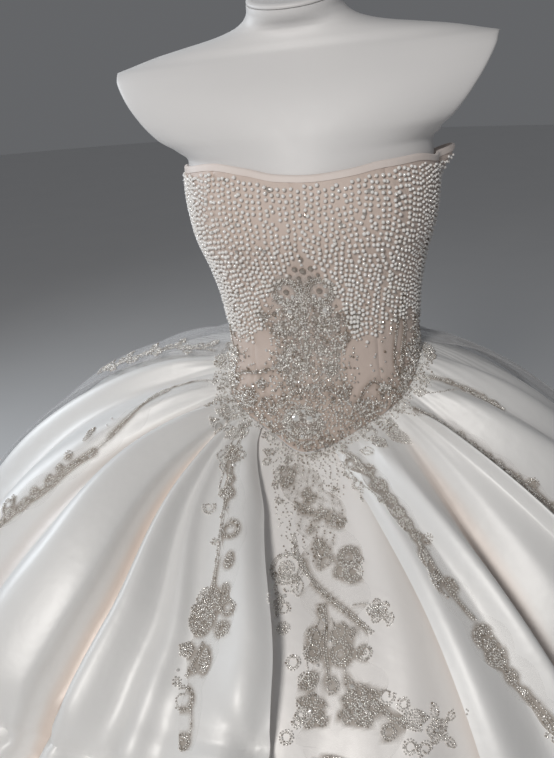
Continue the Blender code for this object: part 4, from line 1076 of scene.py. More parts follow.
class Beading:
    """Beads and cut stones as they are laid out over the dress, before they are sewn down."""

    def __init__(self, anchor):
        self.anchor = anchor
        self.beads = []
        self.stones = []

    def keep(self, points, normals, tone, size=1.0):
        """Note beads of uneven size and tone, a part of them bright."""
        count = len(points)
        bright = rng.random(count) < BRIGHT_SHARE - 0.30 * (tone - 0.5)
        tones = np.where(bright, rng.uniform(0, 0.12, count), np.clip(rng.normal(tone, 0.18, count), 0, 1))
        self.beads.append((points, normals, size * rng.uniform(0.82, 1.12, count), tones))

    def motif(self, kind, a, b, size, turn, tone=PLAIN_TONE):
        """One motif round an anchor; its size is in millimetres and its turn in degrees."""
        if kind in ("stone", "smoky"):
            tone = SMOKY_TONE if kind == "smoky" else tone
            at, normal, _, _ = self.anchor(a, b)
            self.stones.append((at, normal, np.array([size * MILLIMETRE]), np.array([tone])))
            return
        at, normal, right, down = (value[0] for value in self.anchor(a, b))
        flat = MOTIFS[kind](size * MILLIMETRE)
        flat = flat + rng.normal(0, BEAD_JITTER, flat.shape)
        turn = math.radians(turn)
        across = flat[:, 0] * math.cos(turn) - flat[:, 1] * math.sin(turn)
        up = flat[:, 0] * math.sin(turn) + flat[:, 1] * math.cos(turn)
        points = at + np.outer(across, right) - np.outer(up, down)
        self.keep(points, np.tile(normal, (len(points), 1)), tone)

    def stem(self, path, rows=2, tone=PLAIN_TONE):
        """Rows of beads along a path over the cloth, given by its anchors."""
        path = np.array(path, float)
        fine = np.linspace(0, len(path) - 1, 40 * len(path))
        a, b = (through(np.arange(len(path)), path[:, k], fine) for k in (0, 1))
        at, normal, _, _ = self.anchor(a, b)
        length = np.concatenate([[0], np.cumsum(np.linalg.norm(np.diff(at, axis=0), axis=1))])
        along = np.gradient(at, axis=0)
        side = np.cross(normal, unit(along))
        for row in range(rows):
            places = np.arange((row % 2) * BEAD_PITCH / 2, length[-1], BEAD_PITCH)
            off = (row - (rows - 1) / 2) * ROW_PITCH + rng.normal(0, BEAD_JITTER, len(places))
            points, ways, outs = (
                np.stack([np.interp(places, length, values[:, k]) for k in range(3)], axis=1)
                for values in (at, side, normal))
            self.keep(points + ways * off[:, None], outs, tone)

    def tangle(self, path, width, count, tone=0.6):
        """Small rings, hooks and leaves scattered close along a path."""
        path = np.array(path, float)
        for step in np.linspace(0, len(path) - 1, count):
            a, b = (float(through(np.arange(len(path)), path[:, k], [step])[0]) for k in (0, 1))
            kind = ("ring", "hook", "leaf", "disc", "hook")[rng.integers(5)]
            size = rng.uniform(8, 13) if kind == "leaf" else rng.uniform(3.2, 5.6)
            aside = rng.uniform(-0.5, 0.5) * width
            at, _, right, _ = (value[0] for value in self.anchor(a, b))
            degrees = math.degrees(aside / math.hypot(at[0], at[1]))
            self.motif(kind, a + degrees, b, size, rng.uniform(0, 360), tone)

    def strew(self, cover, angles, levels, pitch, tone=0.6, size=1.0):
        """Single beads all over an area, where a share from 0 to 1 tells how close they lie."""
        turn = math.degrees(pitch / STREW_RADIUS)
        a, b = pairs(np.arange(*angles, turn), np.arange(*levels, pitch))
        a = a + rng.uniform(-0.4, 0.4, len(a)) * turn
        b = b + rng.uniform(-0.4, 0.4, len(b)) * pitch
        kept = rng.random(len(a)) < cover(a, b)
        at, normal, _, _ = self.anchor(a[kept], b[kept])
        self.keep(at, normal, tone, size)


glass_bead = Finish("silver_lined_glass", Metallic=0.35, Specular_IOR_Level=0.9)
glass_bead.colour((0.96, 0.935, 0.90), (0.25, 0.195, 0.145), glass_bead.measured("tone"))
glass_bead.feed("Roughness", 0.12 + 0.18 * glass_bead.measured("tone"))
cut_stone = Finish("cut_glass_stone", Metallic=0.45, Roughness=0.08, Specular_IOR_Level=1.0)
cut_stone.colour((0.97, 0.96, 0.94), (0.30, 0.24, 0.19), cut_stone.measured("tone"))
applique_net = Finish("applique_net", Roughness=0.7, Sheen_Weight=0.2)
meshing = applique_net.node("ShaderNodeTexVoronoi", {"feature": "DISTANCE_TO_EDGE"}, {
    "Vector": applique_net.node("ShaderNodeTexCoord", output="Object"), "Scale": 750.0})
# Where beads lie close the net is darker and denser: partly its own darker fill, partly painted shade between
# the beads.
filled = applique_net.measured("beaded")
shading = filled * (0.7 + 0.3 * applique_net.noise(160.0))
applique_net.colour((0.80, 0.78, 0.76), (0.50, 0.44, 0.38), shading)
applique_net.feed("Alpha", 0.05 + 0.45 * filled - 0.12 * meshing)
applique_net.relief(meshing, 0.0002)

bead_tree = instancing_tree("small_beads", 6, 3, True)
stone_tree = instancing_tree("cut_stones", 8, 5, False)


def net_and_bead_shade_share(beading, at):
    """How closely beads lie round each place of the ground that they are sewn to. It darkens that ground:
    partly the darker net under close beading, partly painted shade between the beads.
    """
    beads = np.concatenate([points for points, _, _, _ in beading.beads])
    apart = np.sum(at ** 2, axis=1)[:, None] + np.sum(beads ** 2, axis=1) - 2 * at @ beads.T
    return soft_step(np.exp(-apart / NET_SHADE_REACH ** 2).sum(axis=1) / NET_SHADE_FULL)


def joined(parts):
    """The places, directions, sizes and tones of all parts together."""
    return [np.concatenate([part[k] for part in parts]) for k in range(4)]


def sew_down(name, beading, ground, lift, seed):
    """Lay the beads and stones on the cloth under them, and make a piece of each kind."""
    at, normal, sizes, tones = joined(beading.beads)
    at, facing = laid_on(ground, at, normal, lift + BEAD_RADIUS * BEAD_SEAT)
    pieces = [sewn_on(name + "_beads", bead_tree, at, facing, sizes, tones, glass_bead,
                      BEAD_RADIUS, BEAD_FLATNESS, BEAD_UNEVENNESS, seed)]
    if beading.stones:
        at, normal, sizes, tones = joined(beading.stones)
        at, facing = laid_on(ground, at, normal, lift + STONE_LIFT)
        pieces.append(sewn_on(name + "_stones", stone_tree, at, facing, sizes, tones, cut_stone,
                              STONE_RADIUS, STONE_FLATNESS, 0.0, seed + 1))
    return pieces


def net_piece(name, at, normal, shape, beading):
    """A thin piece of net from a grid of places, laid over the folds under its beading."""
    seated, facing = laid_on(cloth, at, normal, NET_LIFT)
    low = seated.reshape(*shape, 3)
    wall = closed_wall(low, low + facing.reshape(*shape, 3) * NET_WALL)
    # The net darkens under close beads: partly its own darker fill, partly painted shade between the beads.
    beaded = np.tile(net_and_bead_shade_share(beading, at), 2)
    return add_piece(name, *wall, applique_net, "applique_net", {"beaded": beaded})


GARLAND_SHARE = 0.66
NET_COLUMNS = 13
NET_ROWS_A_STATION = 16
CLEAR_TONE = 0.15
# Strips of net on the skirt: scallops, width and length of the cut, a path of angles in
# degrees, s and half widths, and the stems and motifs on it. A motif has its angle, s, size
# in millimetres and turn in degrees.
GARLANDS = {
    "left_outer": (7, (0.36, 0.034), [
        (-67, 0.035, 0.008), (-69, 0.10, 0.011), (-64, 0.16, 0.016), (-61, 0.23, 0.014), (-61, 0.31, 0.015),
        (-62, 0.40, 0.019), (-63, 0.48, 0.010),
    ], [
        (1, [(-67, 0.02), (-71, 0.06), (-71, 0.11), (-65, 0.16), (-61.5, 0.21), (-60.5, 0.26)]),
        (1, [(-69, 0.10), (-67, 0.14), (-63.5, 0.18), (-61.8, 0.22)]),
        (3, [(-60.5, 0.25), (-60.8, 0.30), (-60.5, 0.35), (-61.5, 0.42), (-62.5, 0.49)]),
    ], [
        ("full_leaf", -64.5, 0.262, 21, 30), ("ring", -63.6, 0.297, 5.6, 0), ("stone", -63.4, 0.29, 4.0, 0),
        ("stone", -60.2, 0.262, 4.2, 0), ("disc", -62.0, 0.320, 6.5, 0), ("donut", -61.5, 0.345, 7.5, 0),
        ("ring", -61.8, 0.380, 5.0, 0), ("hook", -64.2, 0.435, 10.5, 70), ("disc", -62.4, 0.445, 5, 0),
        ("leaf", -61.8, 0.40, 15, 200), ("disc", -62.3, 0.478, 6, 0), ("stone", -66.5, 0.205, 3.4, 0),
        ("stone", -64.8, 0.215, 3.0, 0),
    ]),
    "left_inner": (7, (0.40, 0.045), [
        (-28, 0.06, 0.007), (-20, 0.12, 0.012), (-14, 0.19, 0.014), (-12, 0.26, 0.014), (-11.5, 0.34, 0.026),
        (-11, 0.42, 0.014), (-10, 0.52, 0.012),
    ], [
        (2, [(-30, 0.03), (-26, 0.07), (-21.5, 0.115), (-18, 0.17), (-15, 0.23), (-13, 0.29)]),
        (1, [(-33, 0.03), (-30, 0.06), (-25, 0.10), (-22, 0.14)]),
        (2, [(-11.5, 0.37), (-12, 0.40), (-12.5, 0.425)]),
        (1, [(-10.5, 0.465), (-10.0, 0.485), (-10, 0.500)]),
    ], [
        ("full_leaf", -41, 0.035, 24, 60), ("full_leaf", -36, 0.05, 26, 100), ("leaf", -34, 0.035, 22, 150),
        ("leaf", -28, 0.04, 20, 40), ("leaf", -25, 0.06, 22, 120), ("leaf", -29, 0.075, 20, 190),
        ("ring", -26.5, 0.085, 5.5, 0), ("hook", -23.5, 0.075, 6.5, 90), ("leaf", -23.5, 0.11, 17, 60),
        ("ring", -21, 0.118, 4.5, 0), ("disc", -19.8, 0.142, 7.0, 0), ("ring", -19.8, 0.142, 8.5, 0),
        ("hook", -21.3, 0.175, 7.5, 20), ("hook", -14.9, 0.195, 10.5, 70), ("disc", -17.6, 0.180, 4.5, 0),
        ("full_leaf", -12.5, 0.232, 17, 190), ("ring", -16.4, 0.222, 4.0, 0),
        ("oval", -13.0, 0.325, 15.5, 0), ("flower", -13.0, 0.322, 19, 0),
        ("ring", -9.6, 0.312, 8.5, 0), ("donut", -9.4, 0.345, 8.5, 0), ("leaf", -10.5, 0.30, 18, 20),
        ("disc", -13.6, 0.388, 7.5, 0), ("flower", -13.6, 0.388, 10, 0), ("full_leaf", -10.8, 0.378, 24, 190),
        ("disc", -11.6, 0.412, 4.5, 0), ("hook", -12.0, 0.455, 11.5, 90), ("ring", -13.4, 0.436, 4.5, 0),
        ("hook", -10.6, 0.512, 6.5, 100), ("stone", -26.0, 0.06, 4.5, 0), ("stone", -22.5, 0.095, 4.5, 0),
        ("stone", -13.8, 0.42, 3.5, 0), ("stone", -17.5, 0.165, 3.6, 0),
    ]),
    "right_inner": (8, (0.42, 0.045), [
        (13, 0.035, 0.010), (18, 0.09, 0.013), (21, 0.16, 0.012), (23, 0.25, 0.012), (25, 0.33, 0.018),
        (28, 0.42, 0.022), (31, 0.50, 0.014), (34, 0.58, 0.008),
    ], [
        (2, [(13, 0.03), (17, 0.08), (20, 0.13), (21.5, 0.18), (22.5, 0.24), (24, 0.31), (26.5, 0.37)]),
        (1, [(11, 0.045), (14, 0.09), (17.5, 0.135), (20, 0.18)]),
        (1, [(22, 0.25), (21.8, 0.29), (23.5, 0.33)]),
        (2, [(28, 0.44), (29.5, 0.48), (31, 0.52), (33, 0.58)]),
        (1, [(29.3, 0.475), (31.2, 0.505), (32.2, 0.54), (32.8, 0.575)]),
    ], [
        ("full_leaf", 24, 0.03, 26, 200), ("full_leaf", 30, 0.035, 24, 215), ("leaf", 18, 0.04, 20, 230),
        ("hook", 13.5, 0.062, 10.5, 200), ("disc", 15.6, 0.075, 6.5, 0), ("ring", 18.0, 0.082, 7.5, 0),
        ("disc", 13.0, 0.09, 5, 0), ("leaf", 15, 0.10, 16, 160), ("donut", 19.0, 0.118, 9.5, 0),
        ("disc", 18.6, 0.145, 5.5, 0), ("disc", 20.6, 0.150, 6.5, 0), ("disc", 20.8, 0.175, 7.0, 0),
        ("disc", 21.3, 0.198, 7.5, 0), ("donut", 22.4, 0.222, 6.5, 0), ("ring", 24.4, 0.232, 5.5, 0),
        ("leaf", 22.2, 0.245, 18, 175), ("full_leaf", 22.7, 0.285, 18, 170), ("disc", 22.2, 0.263, 4.5, 0),
        ("leaf", 24.8, 0.30, 18, 195), ("oval", 27.2, 0.410, 12.5, 16), ("oval", 28.0, 0.425, 9, 16),
        ("ring", 29.0, 0.462, 6.5, 0), ("disc", 30.2, 0.49, 4.5, 0), ("leaf", 31.5, 0.53, 16, 200),
        ("hook", 32.2, 0.562, 8.5, 120), ("stone", 20, 0.105, 3.8, 0), ("stone", 23.5, 0.25, 3.4, 0),
    ]),
    "right_outer": (6, (0.27, 0.030), [
        (48, 0.03, 0.009), (52, 0.08, 0.012), (55, 0.14, 0.013), (57, 0.21, 0.012), (59, 0.28, 0.012),
        (61, 0.36, 0.009),
    ], [
        (2, [(46, 0.02), (50, 0.06), (53, 0.11), (55, 0.16), (57, 0.22), (59, 0.28), (61, 0.36)]),
        (1, [(43, 0.02), (47, 0.05), (51, 0.09), (53.5, 0.14)]),
    ], [
        ("disc", 50, 0.06, 5, 0), ("leaf", 52, 0.085, 17, 170), ("ring", 54.2, 0.115, 4.5, 0),
        ("disc", 54.5, 0.140, 6, 0), ("oval", 55.2, 0.165, 6.5, 25), ("disc", 56.4, 0.195, 5.5, 0),
        ("oval", 57.2, 0.225, 6.5, 25), ("hook", 59.6, 0.262, 7, 150), ("leaf", 58, 0.27, 18, 190),
        ("ring", 60.4, 0.315, 5, 0), ("leaf", 60.8, 0.34, 14, 185), ("stone", 53, 0.105, 3.6, 0),
        ("stone", 56, 0.18, 3.6, 0),
    ]),
    "right_side": (4, (0.15, 0.018), [
        (69, 0.025, 0.006), (73, 0.07, 0.008), (75, 0.12, 0.008), (76, 0.17, 0.005),
    ], [
        (2, [(68, 0.015), (71, 0.045), (73.5, 0.085), (75, 0.13), (76, 0.165)]),
        (1, [(58, 0.02), (62, 0.045), (66, 0.06), (70, 0.075)]),
    ], [
        ("disc", 72.2, 0.058, 4.5, 0), ("oval", 74.4, 0.115, 5.5, 20), ("leaf", 73, 0.085, 15, 190),
        ("ring", 75.6, 0.145, 4, 0), ("stone", 73, 0.072, 3.4, 0),
    ]),
    "centre_cascade": (8, (0.44, 0.080), [
        (-9, 0.03, 0.020), (1, 0.10, 0.030), (5, 0.18, 0.036), (6, 0.26, 0.040), (6, 0.34, 0.036),
        (7, 0.42, 0.052), (8, 0.50, 0.058), (6, 0.57, 0.032),
    ], [
        (3, [(-3, 0.155), (-1.5, 0.19), (1.5, 0.23), (5, 0.265), (8.5, 0.30), (11.5, 0.335)]),
        (1, [(9, 0.285), (10.5, 0.286), (12, 0.29)]),
        (2, [(4.2, 0.285), (4.5, 0.31), (4.4, 0.34), (4.8, 0.37), (5.2, 0.40)]),
        (1, [(3.4, 0.30), (2.4, 0.33), (2.0, 0.36), (2.6, 0.40)]),
        (1, [(5.4, 0.30), (6.6, 0.33), (7.4, 0.36), (7.4, 0.40)]),
        (3, [(11.2, 0.44), (12.5, 0.46), (14.5, 0.48), (16.6, 0.492)]),
    ], [
        ("disc", -3.0, 0.215, 11, 0), ("ring", -3.0, 0.212, 16, 0), ("ring", -2.8, 0.214, 20, 0),
        ("hook", -2.2, 0.245, 14, 220), ("leaf", -1.0, 0.225, 26, 190), ("full_leaf", -3.2, 0.26, 22, 180),
        ("hook", -2.4, 0.285, 9, 200), ("disc", -1.8, 0.315, 7.5, 0), ("ring", 3.4, 0.185, 7.5, 0),
        ("ring", 2.4, 0.172, 5.5, 0), ("hook", 4.2, 0.205, 8.5, 200), ("donut", 8.8, 0.205, 14.5, 0),
        ("donut", 9.3, 0.232, 11.5, 0), ("ring", 7.2, 0.225, 8.5, 0), ("disc", 10.8, 0.215, 6, 0),
        ("flower", 12.9, 0.303, 14, 0), ("disc", 12.6, 0.303, 9, 0), ("leaf", 15.0, 0.312, 15, 150),
        ("leaf", 3.8, 0.295, 14, 10), ("disc", 4.1, 0.278, 4, 0), ("hook", 3.0, 0.322, 8.5, 330),
        ("hook", 6.4, 0.322, 9.5, 30), ("ring", 2.7, 0.352, 10, 0), ("hook", 2.7, 0.352, 6.5, 330),
        ("ring", 6.9, 0.357, 12.5, 0), ("hook", 6.9, 0.357, 8.5, 20), ("leaf", 8.4, 0.338, 13, 350),
        ("ring", 10.1, 0.362, 8, 0), ("disc", 10.1, 0.362, 2.8, 0), ("ring", 0.2, 0.368, 7.5, 0),
        ("disc", 2.2, 0.395, 9.5, 0), ("leaf", 3.4, 0.385, 17, 160), ("leaf", 7.8, 0.395, 17, 190),
        ("hook", 5.4, 0.405, 7.5, 90), ("flower", 2.9, 0.440, 19, 0), ("ring", 1.4, 0.458, 5.5, 0),
        ("ring", 4.4, 0.456, 5.5, 0), ("flower", 9.2, 0.438, 19.5, 10), ("ring", 9.8, 0.462, 6.5, 0),
        ("hook", 7.2, 0.455, 6.5, 120), ("hook", 12.6, 0.432, 8, 320), ("ring", 14.6, 0.450, 6.5, 0),
        ("ring", 12.4, 0.485, 7.5, 0), ("full_leaf", 17.6, 0.478, 30, 78), ("flower", 18.6, 0.500, 13, 0),
        ("leaf", 18.6, 0.485, 17, 0), ("leaf", 20.2, 0.492, 15, 300), ("leaf", 19.6, 0.515, 15, 220),
        ("ring", 14.8, 0.512, 7.0, 0), ("hook", 16.6, 0.522, 7.0, 180), ("ring", 0.3, 0.480, 7, 0),
        ("donut", 5.6, 0.548, 26, 0), ("ring", 5.6, 0.548, 8, 0), ("stone", 4.1, 0.300, 4.4, 0),
        ("stone", 5.2, 0.335, 4.4, 0), ("stone", 2.9, 0.440, 4.4, 0), ("stone", 9.2, 0.438, 5.0, 0),
        ("stone", -2.4, 0.262, 5.0, 0), ("stone", 3.5, 0.372, 3.8, 0), ("stone", 8.2, 0.41, 5.0, 0),
        ("stone", 18.6, 0.500, 4.0, 0), ("stone", -3.0, 0.212, 4.0, 0),
    ]),
}


def bib(angle, s):
    """How close the beads lie under the point of the bodice."""
    left = through((0.0, 0.08, 0.13, 0.20, 0.22), (-19, -12, -8, -4, -3), s)
    right = through((0.0, 0.08, 0.13, 0.20, 0.22), (11.5, 10.5, 9.5, 6.0, 4), s)
    inside = soft_step((angle - left) / 1.2) * soft_step((right - angle) / 1.2)
    return inside * soft_step((0.215 - s) / 0.03)


def scalloped(share, count):
    """The width of a strip along its length, as a share of the widest."""
    return 0.62 + 0.38 * np.abs(np.sin(math.pi * count * share))


for number, (name, (scallops, cut, path, stems, motifs)) in enumerate(GARLANDS.items()):
    path = np.array(path)
    net_rows = NET_ROWS_A_STATION * len(path)
    across, share = np.meshgrid(
        np.linspace(-1, 1, NET_COLUMNS), np.linspace(0, 1, net_rows), indexing="ij")
    along = share.ravel()
    stations = np.linspace(0, 1, len(path))
    half = through(stations, path[:, 2], along)
    here, ahead, behind = (
        skirt_anchor(*(through(stations, path[:, k], along + step) for k in (0, 1)))
        for step in (0, 0.01, -0.01))
    at, normal, _, _ = here
    aside = unit(np.cross(normal, ahead[0] - behind[0])) * (half * scalloped(along, scallops))[:, None]
    at = at + aside * across.ravel()[:, None]
    beading = Beading(skirt_anchor)
    for rows, line in stems:
        beading.stem(line, rows)
    for kind, angle, s, size, turn in motifs:
        beading.motif(kind, angle, s, size, turn, CLEAR_TONE if kind == "stone" else PLAIN_TONE)
    if name == "centre_cascade":
        beading.strew(bib, (-20, 13), (0.004, 0.22), 0.0040)
        beading.tangle([(-9, 0.03), (-1, 0.09), (4, 0.15)], 0.05, 22, 0.6)
    net = net_piece("garland_net_" + name, at, normal, across.shape, beading)
    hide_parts("applique_" + name)
    sewn = sew_down("garland_" + name, beading, cloth, NET_WALL, 20 + 10 * number)
    GARLAND_SHARE * cut[0] * cut[1]

# The crest and the medallion. In the middle of the bodice stands a small crown of stones
# over two arches, with drops of beads below, and two large stones sit at the waist.
OVAL_SHARE = 0.78
OVAL_SCALLOP = 0.07
OVAL_COLUMNS = 73
OVAL_ROWS = 10
OVAL_TONE = 0.5
BRIGHTEST_TONE = 0.05
BODICE_RADIUS = 0.120
# Each has the angle and height of its middle, half its width and height, its scallops and cut,
# its stems and its motifs.
OVALS = {
    "bodice_crest": (-3, 0.022, 0.043, 0.084, 9, (0.175, 0.09), [
        (2, [(-3.4, 0.095), (-3.6, 0.055), (-4, 0.020), (-5, -0.03)]),
        (1, [(-11, 0.040), (-8, 0.018), (-5, -0.006)]), (1, [(6, 0.040), (2, 0.018), (-3, -0.006)]),
    ], [
        ("smoky", -0.8, 0.120, 6.5, 0), ("smoky", -4.6, 0.108, 7.0, 0), ("smoky", 3.0, 0.108, 7.0, 0),
        ("smoky", -0.8, 0.105, 8.5, 0), ("smoky", -7.6, 0.099, 5.0, 0), ("smoky", 6.0, 0.099, 5.0, 0),
        ("smoky", -3.4, 0.096, 5.0, 0), ("smoky", 1.8, 0.096, 5.0, 0), ("stone", -0.8, 0.113, 4.0, 0),
        ("smoky", -11, 0.078, 7.5, 0), ("smoky", 6, 0.078, 7.5, 0), ("stone", -14, 0.072, 5.0, 0),
        ("stone", -8, 0.072, 5.0, 0), ("stone", 3, 0.072, 5.0, 0), ("stone", 9, 0.072, 5.0, 0),
        ("stone", -11, 0.068, 4.4, 0), ("stone", 6, 0.068, 4.4, 0), ("stone", -14, 0.083, 4.4, 0),
        ("stone", 9, 0.083, 4.4, 0), ("stone", -11, 0.052, 6.5, 0), ("stone", 8, 0.052, 6.5, 0),
        ("smoky", -2.6, 0.060, 5.0, 0), ("smoky", -20, 0.050, 5.0, 0), ("smoky", 15, 0.044, 5.0, 0),
        ("smoky", -16, 0.036, 4.6, 0), ("smoky", -8, 0.020, 4.6, 0), ("smoky", 5, 0.016, 4.6, 0),
        ("ring", -11, 0.077, 14.5, 0), ("ring", 6, 0.077, 14.5, 0), ("ring", -11, 0.077, 19, 0),
        ("ring", 6, 0.077, 19, 0), ("donut", -11, 0.052, 8, 0), ("donut", 8, 0.052, 8, 0),
        ("hook", -15, 0.030, 8, 300), ("hook", 9, 0.030, 8, 60), ("full_leaf", -3, 0.075, 20, 180),
        ("leaf", -7, 0.045, 20, 160), ("leaf", 2, 0.045, 20, 200), ("flower", -8, -0.020, 10, 0),
        ("flower", 4, 0.0, 8, 0), ("flower", 9, -0.024, 11, 0), ("flower", -14, 0.0, 9, 0),
        ("disc", -2.6, 0.062, 4, 0), ("hook", -18, -0.020, 8, 250), ("ring", 14, -0.002, 7, 0),
        ("disc", -19, 0.030, 6.5, 0), ("disc", 13, 0.036, 6.5, 0), ("leaf", -12, -0.03, 18, 150),
    ]),
    "waist_medallion": (-7, -0.094, 0.024, 0.020, 8, (0.05, 0.042), [], [
        ("stone", -9.6, -0.088, 10.0, 0), ("stone", -2.8, -0.088, 10.0, 0), ("stone", -6, -0.078, 5.5, 0),
        ("stone", -13, -0.082, 5.0, 0), ("stone", 1, -0.082, 5.0, 0), ("smoky", -6.2, -0.090, 5.0, 0),
        ("ring", -9.4, -0.088, 6.5, 0), ("ring", -3.0, -0.088, 6.5, 0), ("ring", -6, -0.092, 16, 0),
        ("ring", -6, -0.094, 21, 0), ("ring", -6, -0.096, 26, 0), ("disc", -6, -0.106, 9, 0),
        ("stone", -12, -0.104, 4.5, 0), ("stone", 0, -0.106, 4.5, 0), ("stone", -6, -0.112, 5, 0),
        ("stone", -2, -0.120, 4, 0), ("stone", -10, -0.118, 4, 0),
    ]),
}
for number, (name, row) in enumerate(OVALS.items()):
    angle, height, half_width, half_height, scallops, cut, stems, motifs = row
    turn, reach = np.meshgrid(
        np.linspace(0, 2 * math.pi, OVAL_COLUMNS), np.linspace(0.05, 1, OVAL_ROWS), indexing="ij")
    swell = reach * (1 + OVAL_SCALLOP * reach * np.cos(scallops * turn))
    a = angle + np.degrees(half_width / BODICE_RADIUS) * swell * np.cos(turn)
    b = height + half_height * swell * np.sin(turn)
    beading = Beading(bodice_anchor)
    for rows, line in stems:
        beading.stem(line, rows)
    for kind, at_angle, at_height, size, turn in motifs:
        tone = BRIGHTEST_TONE if kind == "stone" else OVAL_TONE
        beading.motif(kind, at_angle, at_height, size, turn, tone)
    at, normal, _, _ = bodice_anchor(a.ravel(), b.ravel())
    net = net_piece(name + "_net", at, normal, a.shape, beading)
    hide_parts("applique_" + name)
    sewn = sew_down(name, beading, cloth, NET_WALL, 90 + 10 * number)
    OVAL_SHARE * cut[0] * cut[1]

# The beading of the lower bodice. The panels round the crest are sewn all over with the same
# beads, closest towards the point, with darker sprays at the waist and down the side seams.
SPRAY_STEMS = [
    (2, [(-60, -0.055), (-48, -0.040), (-38, -0.036), (-28, -0.028), (-20, -0.022)]),
    (3, [(-24, -0.088), (-18, -0.066), (-10, -0.052), (-2, -0.046), (8, -0.050), (15, -0.062)]),
    (2, [(17, -0.088), (24, -0.062), (32, -0.046), (40, -0.056), (50, -0.064)]),
    (3, [(58, 0.050), (60, 0.010), (56, -0.022), (53, -0.050)]),
    (2, [(54, 0.020), (50, -0.01), (49, -0.03), (52, -0.055)]),
    (3, [(80, 0.120), (83, 0.070), (80, 0.030), (76, 0.000), (70, -0.030)]),
    (3, [(-70, 0.050), (-74, 0.010), (-68, -0.025), (-58, -0.060)]),
    (2, [(-12, 0.010), (-16, -0.006), (-22, -0.012)]),
    (2, [(2, 0.018), (10, 0.008), (18, 0.002)]),
]
SPRAY_MOTIFS = [
    ("flower", -19, -0.022, 11, 0), ("disc", -40, -0.072, 11, 0), ("ring", -40, -0.072, 12.5, 0),
    ("disc", 26, -0.077, 10, 0), ("ring", 26, -0.077, 12.5, 0), ("flower", -29, 0.044, 11, 0),
    ("flower", -21, 0.026, 11, 0), ("flower", 23, 0.036, 12, 0), ("disc", 18, 0.014, 8, 0),
    ("flower", -33, -0.049, 9, 0), ("flower", 39, -0.058, 10, 0), ("flower", 56, -0.050, 11, 0),
    ("disc", 52, -0.066, 8, 0), ("flower", -60, -0.060, 10, 0), ("disc", -66, 0.016, 7, 0),
    ("flower", -62, -0.020, 10, 0), ("flower", 16, -0.052, 9, 0), ("hook", 62, -0.02, 7, 40),
    ("hook", 54, 0.03, 7, 250), ("leaf", 60, 0.045, 16, 10), ("leaf", 81, 0.09, 16, 30),
    ("disc", 82, 0.06, 5, 0), ("disc", 79, 0.02, 5, 0), ("leaf", -70, 0.045, 16, 350),
    ("full_leaf", -50, -0.085, 22, 120), ("full_leaf", 30, -0.095, 20, 230), ("hook", -27, -0.075, 9, 120),
]
EDGE_SPRIG_STEP = 8
SPRAY_TONE = 0.75
EDGE_TONE = 0.7
LOOSE_STONE_TRIES = 900


def bodice_cover(angle, height):
    """How close the single beads lie on the lower bodice, and where it stays nearly plain."""
    middle = np.exp(-((angle + 3) / 24) ** 4)
    middle = middle * soft_step((0.085 - height - 0.0012 * np.abs(angle + 3)) / 0.02)
    left_bare = np.exp(-((angle + 33) / 7) ** 2 - ((height + 0.008) / 0.022) ** 2)
    right_bare = np.exp(-((angle - 30) / 9) ** 2 - ((height + 0.020) / 0.028) ** 2)
    low = soft_step((-0.055 - height - 0.0004 * np.abs(angle)) / 0.015) * np.exp(-((angle + 4) / 32) ** 4)
    sides = np.exp(-((np.abs(angle) - 68) / 9) ** 2) * soft_step((0.0 - height) / 0.03)
    waistline = soft_step((0.040 - height + waist_seam(np.radians(angle))) / 0.030)
    cover = 0.80 * middle + 0.70 * low + 0.60 * sides + 0.60 * waistline + 0.10
    above_seam = soft_step((height - waist_seam(np.radians(angle)) - 0.001) / 0.004)
    return np.clip(cover, 0, 0.9) * above_seam * (1 - 0.8 * left_bare) * (1 - 0.8 * right_bare)


spray = Beading(bodice_anchor)
for rows, line in SPRAY_STEMS:
    spray.stem(line, rows, SPRAY_TONE)
for kind, angle, height, size, turn in SPRAY_MOTIFS:
    spray.motif(kind, angle, height, size, turn, SPRAY_TONE)
    if kind in ("flower", "disc"):
        spray.motif("stone", angle, height, 3.8, 0, 0.55)
for turn, angle in enumerate(range(-92, 97, EDGE_SPRIG_STEP)):
    lowest = float(waist_seam(np.radians([angle]))[0])
    kind, size = (("hook", 6.5), ("leaf", 13), ("ring", 5))[turn % 3]
    spray.motif(kind, angle, lowest + 0.007, size, 70 * turn, EDGE_TONE)
    spray.motif("disc", angle + 4, lowest + 0.004, 3.6, 0, EDGE_TONE)
spray.strew(bodice_cover, (-100, 100), (-0.128, 0.075), 0.0034, 0.55, 1.45)
for angle, height in rng.uniform((-95, -0.125), (95, 0.07), (LOOSE_STONE_TRIES, 2)):
    if rng.random() < bodice_cover(np.array([angle]), np.array([height]))[0]:
        spray.motif("stone", angle, height, rng.uniform(2.8, 4.4), 0, rng.uniform(0.0, 0.9))
sew_down("lower_bodice", spray, cloth, 0.0, 120)
# The bodice panels darken where the beads lie close: partly the darker net under them, partly painted shade
# between the beads.
for panel, angle, height in bodice_panels.values():
    at, _, _, _ = bodice_anchor(angle, height)
    shade = panel.data.attributes.new("beaded", "FLOAT", "POINT")
    shade.data.foreach_set("value", np.tile(0.75 * net_and_bead_shade_share(spray, at), 2).astype(np.float32))


def fringe_cover(angle, s):
    """How close the beads lie on the skirt just below the waist seam."""
    at_sides = np.exp(-((np.abs(angle) - 74) / 16) ** 2)
    reach = 0.016 + 0.010 * np.abs(np.sin(np.radians(angle * 7))) + 0.008 * at_sides
    return 0.85 * soft_step((reach - s) / 0.006)


